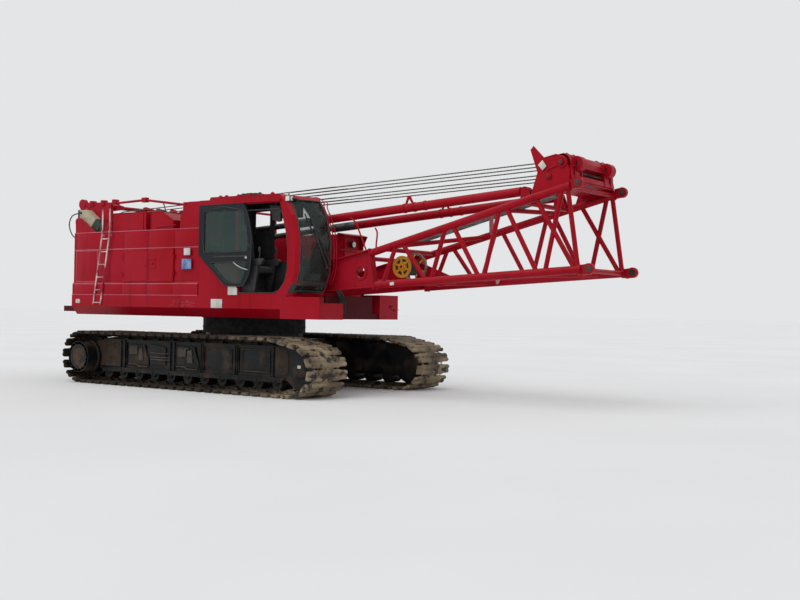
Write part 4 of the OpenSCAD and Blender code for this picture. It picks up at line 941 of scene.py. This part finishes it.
def makeCushion(name, corners, crown):
    # crowned pad between a lower and an upper face given as 4 corners each; sides pull in between the corners
    bm = bmesh.new()
    steps = 10
    low, high = corners
    grid = []
    for face, grow in ((low, 0.12), (high, 1.0)):
        rows = []
        for i in range(steps + 1):
            u = i / steps
            row = []
            for j in range(steps + 1):
                v = j / steps
                flat = (face[0] * (1 - u) * (1 - v) + face[1] * u * (1 - v) + face[2] * u * v + face[3] * (1 - u) * v)
                dome = (1 - (2 * u - 1) ** 4) * (1 - (2 * v - 1) ** 4)
                seam = 0.0 if face is low else 0.16 * (math.exp(-((u - 0.24) / 0.035) ** 2)
                                                       + math.exp(-((u - 0.76) / 0.035) ** 2)) * dome
                middle = (face[0] + face[1] + face[2] + face[3]) / 4
                pull = 0.03 * (math.sin(math.pi * u) * (abs(2 * v - 1) ** 6)
                               + math.sin(math.pi * v) * (abs(2 * u - 1) ** 6))
                lift = (high[0] - low[0]).normalized() * (1 if face is high else -1)
                row.append(bm.verts.new(flat + (middle - flat) * pull + lift * grow * (dome - seam) * crown / 1000))
            rows.append(row)
        grid.append(rows)
    for rows in grid:
        for i in range(steps):
            for j in range(steps):
                bm.faces.new((rows[i][j], rows[i + 1][j], rows[i + 1][j + 1], rows[i][j + 1]))
    border = [(i, 0) for i in range(steps)] + [(steps, j) for j in range(steps)]
    border += [(i, steps) for i in range(steps, 0, -1)] + [(0, j) for j in range(steps, 0, -1)]
    for (i, j), (k, m) in zip(border, border[1:] + border[:1]):
        bm.faces.new((grid[0][i][j], grid[0][k][m], grid[1][k][m], grid[1][i][j]))
    bmesh.ops.bevel(bm, geom=[e for e in bm.edges if e.calc_face_angle(0) > 0.9], offset=0.014, segments=3,
                    profile=0.6, affect="EDGES")
    piece = makePiece(name, bm, seatFabric, "upper", 60)
    return piece


def makeCabInside(values):
    # near-black lining panels: painted shade of the cab's inside
    bm = bmesh.new()
    for x0, x1, z0, z1 in ((60, 2320, 1930, 2550), (60, 954, 2550, 3716), (954, 1334, 2550, 3177),
                           (954, 1334, 3557, 3716), (1334, 1472, 2550, 3716), (1472, 2200, 3400, 3716)):
        addPlate(bm, box(x0, x1, z0, z1), -1015, -1009, 2)
    post = [(2320, 1930), (2620, 1930), (2752, 2100), (2830, 2320), (2852, 2900), (2738, 3385), (2560, 3670),
            (2200, 3716), (2200, 3600), (2420, 3350), (2560, 2900), (2350, 2550), (2320, 2550)]
    addPlate(bm, post, -1015, -1009, 0)
    addPlate(bm, [(60, 3708), (2480, 3700), (2480, 3712), (60, 3720)], -1590, -1016, 2)
    addPlate(bm, box(50, 60, 1930, 2880), -1590, -1012, 2)
    addPlate(bm, box(60, 70, 3560, 3700), -1590, -1012, 2)
    addPlate(bm, [(60, 1922), (2560, 1922), (2620, 1934), (60, 1934)], -1588, -1014, 2)
    addPlate(bm, [(2560, 1934), (2700, 2100), (2680, 2110), (2530, 1944)], -1500, -1016, 2)
    makePiece("cabLining", bm, shadowBlack, "upper")

    bm = bmesh.new()
    addPlate(bm, [(1767, 3624), (2052, 3592), (2059, 3306), (1990, 3290), (1852, 3332)], -1500, -1440, 12)
    addPipe(bm, route([(1900, -1470, 3610), (1900, -1460, 3706)]), 16, 10)
    for y, x in ((-1545, 1560), (-1075, 1560)):
        addPlate(bm, [(1000, 2470), (1640, 2470), (1690, 2560), (1640, 2600), (1000, 2560)], y - 36, y + 36, 14)
        addPlate(bm, [(1080, 1940), (1480, 1940), (1560, 2470), (1040, 2470)], y - 30, y + 30, 8)
        addPipe(bm, route([(x, y, 2590), (x + 16, y, 2680), (x + 8, y, 2740)]), 11, 10, 4)
        addTurned(bm, [(0, 0), (18, 4), (25, 40), (24, 84), (14, 104), (0, 108)], onUpper(x + 4, y, 2716), upward, 16)
    addPlate(bm, [(2180, 1940), (2330, 1940), (2400, 2420), (2330, 2470), (2210, 2440)], -1160, -1030, 14)
    addPlate(bm, [(2200, 2470), (2360, 2440), (2372, 2610), (2236, 2640)], -1200, -1060, 10)
    for y in (-1380, -1290):
        addPlate(bm, [(2330, 1990), (2470, 2090), (2460, 2104), (2318, 2006)], y - 30, y + 30, 4)
        addPipe(bm, route([(2400, y, 2040), (2440, y, 2330), (2410, y, 2400)]), 9, 8)
        addTurned(bm, [(0, -20), (22, -20), (25, 20), (16, 44), (0, 46)], onUpper(2410, y, 2400), upward, 14)
    makePiece("cabControls", bm, cabPlastic, "upper")

    # seat on its pedestal, cushions with two sewn channels each
    base = bmesh.new()
    addPlate(base, [(960, 1936), (1420, 1936), (1390, 1990), (1330, 2040), (1330, 2210), (1440, 2290), (930, 2290),
                    (1030, 2210), (1030, 2040), (980, 1990)], -1470, -1150, 10)
    addPlate(base, [(900, 2290), (1500, 2300), (1530, 2330), (900, 2330)], -1530, -1090, 8)
    addPlate(base, [(900, 2330), (960, 2330), (890, 3060), (850, 3060)], -1500, -1120, 12)
    for y in (-1370, -1250):
        addPipe(base, route([(872, y, 3040), (862, y, 3170)]), 8, 8)
    seat = makePiece("seatFrame", base, cabPlastic, "upper")
    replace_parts(seat, "cab_interior")

    makeCushion("seatCushion", (route([(960, -1530, 2334), (1520, -1530, 2334), (1520, -1090, 2334),
                                       (960, -1090, 2334)]),
                                route([(960, -1530, 2410), (1520, -1530, 2420), (1520, -1090, 2420),
                                       (960, -1090, 2410)])), values["crown"])
    makeCushion("seatBack", (route([(962, -1520, 2440), (962, -1100, 2440), (900, -1120, 3070), (900, -1500, 3070)]),
                             route([(1040, -1520, 2440), (1040, -1100, 2440), (976, -1120, 3076),
                                    (976, -1500, 3076)])), values["crown"])
    makeCushion("seatHeadrest", (route([(868, -1420, 3110), (868, -1200, 3110), (852, -1210, 3280),
                                        (852, -1410, 3280)]),
                                 route([(930, -1420, 3110), (930, -1200, 3110), (914, -1210, 3280),
                                        (914, -1410, 3280)])), 20)


makeCabInside(cabInside)
print("stage: cab")


# Boom: gratings, backstop eyes and sleeves, thin posts, rings, greased pins in the chord ends

boomDetail = {"tilt": math.atan2(715, 7600), "barGap": 35.6, "crossGap": 98, "nodeSpan": (3700, 6200),
              "longSpan": (6206, 6880), "eyeAt": 5205, "stopsAt": (-600, 600), "chordsAt": (-845, 845),
              "plateAt": 922, "stopTilt": math.radians(4.317)}


def makeGrating(name, span, values):
    c, s = math.cos(values["tilt"]), math.sin(values["tilt"])

    def onTop(x, y, z):
        return onBoom(x * c - z * s, y, x * s + z * c)
    bm = bmesh.new()
    for k in range(11):
        y = -480 + k * values["barGap"]
        addPlate(bm, [(span[0], 44), (span[1], 44), (span[1], 71), (span[0], 71)], y, y + 4, 0, onTop)
    steps = round((span[1] - span[0]) / values["crossGap"])
    for k in range(steps + 1):
        x = span[0] + 4 + (span[1] - span[0] - 8) * k / steps
        addPlate(bm, box(x - 4, x + 4, 58, 71), -480, -120, 0, onTop)
    return makePiece(name, bm, gratingSteel, "boom")


def makeBoomDetail(values):
    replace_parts(makeGrating("walkwayGrating", values["nodeSpan"], values), "boom_walkway")
    makeGrating("walkwayEndGrating", values["longSpan"], values)

    c, s = math.cos(values["stopTilt"]), math.sin(values["stopTilt"])

    def onStop(x, y, z):
        return onUpper(-750 + x * c - z * s, y, 3140 + x * s + z * c)
    along = onStop(1, 0, 0) - onStop(0, 0, 0)
    bm = bmesh.new()
    at = values["eyeAt"]
    for y in values["stopsAt"]:
        addPlate(bm, [(at - 96, 76), (at - 30, 226), (at + 30, 226), (at + 96, 76), (at + 52, 76), (at, 178),
                      (at - 52, 76)], y - 9, y + 9, 3, onStop)
        for x in (at - 120, at + 100, at + 340):
            addTurned(bm, [(80, 0), (92, 4), (92, 30), (80, 34)], onStop(x, y, 0), along, 28, True)
    makePiece("backstopEyes", bm, boomEnamel, "backstop_tubes")
    # worn bare sleeve at the tubes' rear ends
    bm = bmesh.new()
    for y in values["stopsAt"]:
        addTurned(bm, [(82.5, 0), (86, 2), (86, 640), (84, 644), (82.5, 644)], onStop(2366, y, 0), along, 32, True)
    makePiece("backstopSleeves", bm, rodSteel, "backstop_tubes")

    bm = bmesh.new()
    for line in ([(3236, 3367), (3358, 3287), (3483, 3058), (3640, 2728)],
                 [(3835, 3159), (3884, 3065), (3866, 2861), (3866, 2780)]):
        addPipe(bm, [onUpper(x, -845, z) for x, z in line], 15, 10, 4)
    # chord ends: dark greased rings and pins
    pins = bmesh.new()
    for y in values["chordsAt"]:
        for z in (-715, 715):
            for way in (-1, 1):
                addTurned(pins, [(30, 33), (62, 33), (62, 40), (56, 44), (30, 44)], onBoom(7600, y, z), across * way,
                          28, True)
            addTurned(pins, [(0, -56), (20, -56), (31, -46), (31, 46), (20, 56), (0, 56)], onBoom(7600, y, z), across,
                      20)
            addTurned(bm, [(70, 0), (84, 6), (84, 60), (70, 66)], onBoom(7400, y, z * 7400 / 7600), ahead, 24, True)
    makePiece("boomPostsAndRings", bm, boomEnamel, "boom")
    makePiece("chordEndPins", pins, greasyPin, "boom")

    # foot plates: edge strips, doubler rings and bolts round the foot pin, blank label on the lower chord
    bm = bmesh.new()
    for way in (-1, 1):
        y = way * values["plateAt"]
        for x in (1150, 2200):
            addTurned(bm, rim(60, 92, 10, 14, 8), onBoom(x, y, 0), across * way, 30, True)
        addTurned(bm, rim(70, 130, 14, 20, 12), onBoom(0, y, 0), across * way, 34, True)
        for c, s in turns(8):
            addBolt(bm, onBoom(100 * c, y + way * 18, 100 * s), across * way, 10, 8)
    makePiece("boomFootRings", bm, boomEnamel, "boom")
    bm = bmesh.new()
    addPlate(bm, [(4250, 2088), (4342, 2096), (4340, 2155), (4250, 2146)], -921, -915, 2)
    makePiece("chordLabel", bm, plateWhite, "boom")


makeBoomDetail(boomDetail)


# Head: folded cover over the sheaves, the box at its foot, bosses, pins and pendant eyes

head = {"cover": [(-120, 152), (30, 152), (108, 96), (140, 16), (140, -72)], "skin": 8, "eyes": (-555, 555),
        "eyeAt": (152, -34), "eyeRadius": 128, "hornAt": 830, "pinAt": (-276, -183),
        "gaps": ((-658, -452), (452, 658), (-798, -692), (692, 798))}


def makeHead(values):
    def onHead(x, y, z):
        return onBoom(7350 + x, y, 1120 + z)
    bm = bmesh.new()
    skin, (pinX, pinZ) = values["skin"], values["pinAt"]
    shell = values["cover"] + [(x - skin, z - skin * 0.8) for x, z in values["cover"]][::-1]
    for y0, y1 in values["gaps"]:
        addPlate(bm, shell, y0, y1, 2, onHead)
    # over the sheaves it starts farther forward, clear of the ropes with the boom up
    middle = [(44, 143)] + values["cover"][2:]
    addPlate(bm, middle + [(x - skin, z - skin * 0.8) for x, z in middle][::-1], -418, 418, 2, onHead)
    rib = [(x + 7, z + 7) for x, z in values["cover"]] + [(x - 14, z - 12) for x, z in values["cover"]][::-1]
    for y in (-674, -434, 434, 674):
        addPlate(bm, rib, y - 17, y + 17, 3, onHead)
    # ledge under the cover, a dark slot, and the box at the foot of the plates
    addPlate(bm, box(60, 160, -78, -92), -798, 798, 3, onHead)
    addPlate(bm, box(20, 32, -92, -200), -418, 418, 2, onHead)
    addPlate(bm, box(96, 128, -232, -318), -798, 798, 4, onHead)
    for y0, y1 in values["gaps"]:
        addPlate(bm, [(112, -92), (136, -92), (120, -232), (96, -232)], y0, y1, 2, onHead)
    (eyeX, eyeZ), outer = values["eyeAt"], values["eyeRadius"]
    for y in values["eyes"]:
        addTurned(bm, [(46, -88), (outer - 8, -88), (outer, -80), (outer, 80), (outer - 8, 88), (46, 88)],
                  onHead(eyeX, y, eyeZ), across, 36, True)
        addPlate(bm, [(eyeX - 210, eyeZ + 118), (eyeX, eyeZ + 127), (eyeX, eyeZ - 127), (eyeX - 210, eyeZ - 100)],
                 y - 66, y + 66, 4, onHead)
    # horn plates: edge stiffeners and bosses
    for way in (-1, 1):
        y = way * values["hornAt"]
        addTurned(bm, rim(48, 98, 16, 24, 10), onHead(0, y, 0), across * way, 34, True)
        addTurned(bm, rim(0, 52, 30, 38, 8), onHead(pinX, y, pinZ), across * way, 28)
        addPlate(bm, [(-300, -40), (-280, -92), (-230, -60), (0, -36), (10, 34), (-60, 42)], y + (way > 0) * 4, y
                 + way * 18, 4, onHead)
        for c, s in turns(6):
            addBolt(bm, onHead(74 * c, y + way * 22, 74 * s), across * way, 10, 8)
        edge = [onHead(x, y - way * 6, z) for x, z in ((-650, -430), (-470, -80), (-550, 340))]
        addPipe(bm, edge, 13, 8)
        addPipe(bm, [onHead(x, y - way * 6, z) for x, z in ((-500, 380), (-330, 142), (-100, 150), (50, 80))], 13, 8)
    makePiece("headCovers", bm, boomEnamel, "boom")
    bm = bmesh.new()
    for way in (-1, 1):
        y = way * values["hornAt"]
        addTurned(bm, rim(0, 40, 66, 76, 8), onHead(0, y, 0), across * way, 24)
        addTurned(bm, rim(0, 26, 48, 54, 6), onHead(pinX, y, pinZ), across * way, 20)
    for y in values["eyes"]:
        addTurned(bm, box(0, 50, -76, 76), onHead(eyeX, y, eyeZ), across, 24)
    addPipe(bm, [onHead(70, -640, -160), onHead(70, 640, -160)], 20, 14)
    makePiece("headPins", bm, greasyPin, "boom")
    bm = bmesh.new()
    addPlate(bm, [(7258, 4110), (7341, 4189), (7419, 4083), (7345, 4015)], -855, -849, 2)
    makePiece("hornLabel", bm, plateWhite, "boom")


makeHead(head)


# Tagline reel: spoked wheel with its hub and bolts, wound cable, and the ring with studs at the far side

reel = {"axis": (3620, -5), "turns": 9, "studs": 24}


def woundRope(count, radius, lobe, start, end):
    # profile of a rope lying turn beside turn
    return [(radius + lobe * abs(math.sin(math.pi * k / 4)), start + (end - start) * k / (count * 4))
            for k in range(count * 4 + 1)]


def makeReel(values):
    x, z = values["axis"]
    middle = onBoom(x, 0, z)
    bm = bmesh.new()
    addTurned(bm, [(30.5, -492), (44, -492), (52, -486), (52, -472), (84, -470), (84, -450), (99, -448), (99, -34),
                   (30.5, -34)], middle, across, 36, True)
    addTurned(bm, [(152, -470), (187, -470), (187, -480), (205, -480), (205, -446), (152, -446)], middle, across, 48,
              True)
    addTurned(bm, box(247, 282, -50, -38), middle, across, 64, True)
    for c, s in turns(6, 0.5):
        def onSpoke(a, y, r):
            return onBoom(x + r * c - a * s, y, z + r * s + a * c)
        addPlate(bm, [(-22, 80), (22, 80), (15, 118), (22, 156), (-22, 156), (-15, 118)], -468, -450, 3, onSpoke)
        addPlate(bm, box(-18, 18, 96, 250), -49, -41, 2, onSpoke)
        addBolt(bm, onSpoke(0, -470, 68), -across, 9, 8)
    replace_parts(makePiece("reelWheel", bm, yellowEnamel, "reel"), "tagline_reel")
    bm = bmesh.new()
    addTurned(bm, [(98, -430)] + woundRope(values["turns"], 140, 14, -430, -80) + [(98, -80)], middle, across, 40,
              True)
    makePiece("reelCable", bm, hoseRubber, "reel")
    bm = bmesh.new()
    for r0, r1 in ((240, 250), (270, 282)):
        addTurned(bm, box(r0, r1, -60, -40), middle, across, 64, True)
    for c, s in turns(values["studs"]):
        addTurned(bm, [(0, -66), (13, -66), (15, -60), (15, -36), (0, -36)], onBoom(x + 260 * c, 0, z + 260 * s),
                  across, 12)
    makePiece("reelRing", bm, scuffedSteel, "reel")


makeReel(reel)


# Winch drums wound with rope, in place of the plain ones

drums = {"drum_front": ("front_drum", -1250, 2250), "drum_rear": ("rear_drum", -2250, 2250),
         "drum_boom_hoist": ("boom_hoist_drum", -3300, 2200)}
winding = {"turns": 27, "core": 300, "rope": 322, "half": 398, "lobe": 13}


def makeDrum(node, body, x, z, values):
    middle = onUpper(x, 0, z)
    bm = bmesh.new()
    profile = [(0, -490), (60, -490), (60, -432), (90, -430), (418, -430), (430, -424), (430, -406), (418, -400),
               (values["core"], -400), (values["core"], 400), (418, 400), (430, 406), (430, 424), (418, 430),
               (90, 430), (60, 432), (60, 490), (0, 490)]
    addTurned(bm, profile, middle, across, 56)
    for way in (-1, 1):
        for c, s in turns(10):
            addBolt(bm, middle + Vector((0.36 * c, way * 0.428, 0.36 * s)), across * way, 14, 12)
    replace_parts(makePiece(node + "Flanges", bm, drumSteel, body), node)
    bm = bmesh.new()
    half, inside = values["half"], values["core"] - 4
    wound = woundRope(values["turns"], values["rope"], values["lobe"], -half, half)
    addTurned(bm, [(inside, -half)] + wound + [(inside, half)], middle, across, 44, True)
    makePiece(node + "Rope", bm, ropeWire, body, 60)


for node, row in drums.items():
    makeDrum(node, *row, winding)
print("stage: boom and winches")


# Upper works: hoses, gantry fittings, cylinder ends, hood edges, lamp, blank plates and rubbed places

def makeHose(name, points, radius):
    path = smoothPath(points)
    bm = bmesh.new()
    addPipe(bm, path, radius, 10)
    piece = makePiece(name, bm, hoseRubber, "upper")


makeHose("rearLoopHose", [onUpper(x, -1550, z) for x, z in ((-3889, 3682), (-4169, 3626), (-4270, 3428),
                                                            (-4158, 3201), (-3979, 3107))], 13)
makeHose("hoodHose", [onUpper(x, y, z) for x, y, z in ((-1464, -1300, 3840), (-1380, -1330, 3712),
                                                       (-1325, -1340, 3622), (-1300, -1345, 3602))], 12)
for k in range(4):
    makeHose("deckHose%d" % k, [onUpper(x + 12 * k, -250 - 62 * k, z)
                                for x, z in ((2400, 2052), (2510, 2010), (2606, 1918), (2652, 1800), (2664, 1680),
                                             (2652, 1560))], 16)

upperDetail = {"edgeRadius": 9, "gantryY": 1330, "plateFace": (-1662, -1650), "lampAt": (1652, 1155, 3015),
               "scratches": 30}


def makeUpperDetail(values):
    g = values["gantryY"]
    bm = bmesh.new()
    fittings = bmesh.new()
    boxes = bmesh.new()
    for way in (-1, 1):
        def onSide(x, y, z):
            return onUpper(x, way * y, z)
        for x in (-3723, -3345, -2960):
            addPlate(bm, [(x - 70, 3840), (x + 70, 3840), (x + 40, 3960), (x - 60, 3960)], g - 60, g + 60, 8, onSide)
            addBolt(bm, onSide(x, g + 58, 3900), across * way, 16, 12)
        addTurned(bm, rim(60, 118, 16, 24, 14), onSide(-3900, g + 45, 3690), across * way, 30, True)
        # raising cylinders: dark clevis ends, cap, bolts, hose unions
        addPlate(fittings, [(-3560, 3352), (-3420, 3232), (-3200, 3232), (-3200, 3405), (-3390, 3540)], g + 30, g
                 + 192, 6, onSide)
        addPlate(fittings, box(-4012, -3960, 3520, 3758), g + 30, g + 190, 6, onSide)
        addTurned(fittings, rim(0, 46, 22, 30, 10), onSide(-3300, g + 190, 3320), across * way, 22)
        for x, z in ((-3900, 3690), (-3840, 3520)):
            addTurned(fittings, rim(0, 26, 24, 32, 8), onSide(x, g + 185, z), across * way, 18)
        for x, z in ((-3890, 3600), (-3640, 3600), (-3500, 3480), (-3760, 3700)):
            addBolt(boxes, onSide(x, g + 185, z), across * way, 13, 9)
        addPlate(boxes, [(-3800, 3560), (-3620, 3560), (-3560, 3520), (-3560, 3620), (-3700, 3700), (-3800, 3700)], g
                 + 185, g + 191, 4, onSide)
        # edges of the right roof's hoods
        if way > 0:
            continue
        for line in ([(-3050, 3240), (-3050, 3350), (-2800, 3622), (-1692, 3622), (-1692, 3240)],
                     [(-1542, 3240), (-1542, 3620), (-1160, 3592), (-850, 3422), (-850, 3240)]):
            addPipe(bm, [onSide(x, 1562, z) for x, z in line], values["edgeRadius"], 8)
        for x in (-2780, -1780):
            addPlate(bm, box(x - 9, x + 9, 3245, 3600), 1559, 1572, 3, onSide)
        addPlate(bm, [(-1373, 3286), (-766, 3304), (-766, 3330), (-1373, 3316)], 1562, 1580, 5, onSide)
    makePiece("gantryFittings", bm, gantryEnamel, "upper")
    makePiece("cylinderEnds", fittings, engineEnamel, "upper")
    makePiece("cylinderBoxPlates", boxes, beigeEnamel, "upper")

    # lamp and visor on the left house's front
    bm = bmesh.new()
    addPlate(bm, [(1650, 3232), (1660, 3240), (1850, 3196), (1846, 3184)], 700, 1490, 4)
    for y in (702, 1478):
        addPlate(bm, [(1650, 3236), (1846, 3190), (1700, 2900), (1650, 2860)], y, y + 10)
    addPlate(bm, [(1650, 2852), (1712, 2900), (1700, 2908), (1650, 2868)], 712, 1480)
    addTurned(bm, rim(20, 48, 26, 34, 8), onUpper(2845, 991, 1709), ahead, 22, True)
    addPlate(bm, box(2845, 2925, 1640, 1652), 1010, 1190)
    addPlate(bm, [(2845, 1600), (2925, 1640), (2845, 1640)], 1094, 1106, 2)
    makePiece("leftHoodVisor", bm, houseEnamel, "upper")
    bm = bmesh.new()
    addTurned(bm, [(0, 0), (40, 0), (66, 34), (70, 92), (62, 98), (62, 84), (0, 84)], onUpper(*values["lampAt"]),
              ahead, 30)
    makePiece("houseLampBody", bm, cabPlastic, "upper")
    bm = bmesh.new()
    addTurned(bm, [(0, 80), (61, 80), (60, 92), (34, 102), (0, 106)], onUpper(*values["lampAt"]), ahead, 28)
    makePiece("houseLampLens", bm, lampLens, "upper")

    bm = bmesh.new()
    for x0, x1, z0, z1 in ((380, 690, 1625, 1800), (846, 1095, 1883, 2059), (-420, -241, 2684, 2829),
                           (-3849, -3708, 1684, 1771)):
        addPlate(bm, box(x0, x1, z0, z1), *values["plateFace"], 2)
        for x in (x0 + 14, x1 - 14):
            for z in (z0 + 14, z1 - 14):
                addBolt(bm, onUpper(x, -1661, z), -across, 5, 3)
    makePiece("blankPlates", bm, plateWhite, "upper")
    bm = bmesh.new()
    addPlate(bm, box(-473, -206, 2401, 2607), *values["plateFace"], 2)
    makePiece("bluePlate", bm, plateBlue, "upper")
    # paint rubbed off along the deck's band
    bm = bmesh.new()
    for _ in range(values["scratches"]):
        x, z = random.uniform(-900, -150), random.uniform(1650, 1775)
        wide, tall = random.uniform(14, 80), random.uniform(2, 6)
        lean = random.uniform(-14, 14)
        addPlate(bm, [(x, z), (x + wide, z + lean), (x + wide * 0.9, z + lean + tall), (x + wide * 0.3, z + tall)],
                 -1652.5, -1649, 0)
    makePiece("deckScratches", bm, rubbedPaint, "upper")


makeUpperDetail(upperDetail)
print("stage: upper works")
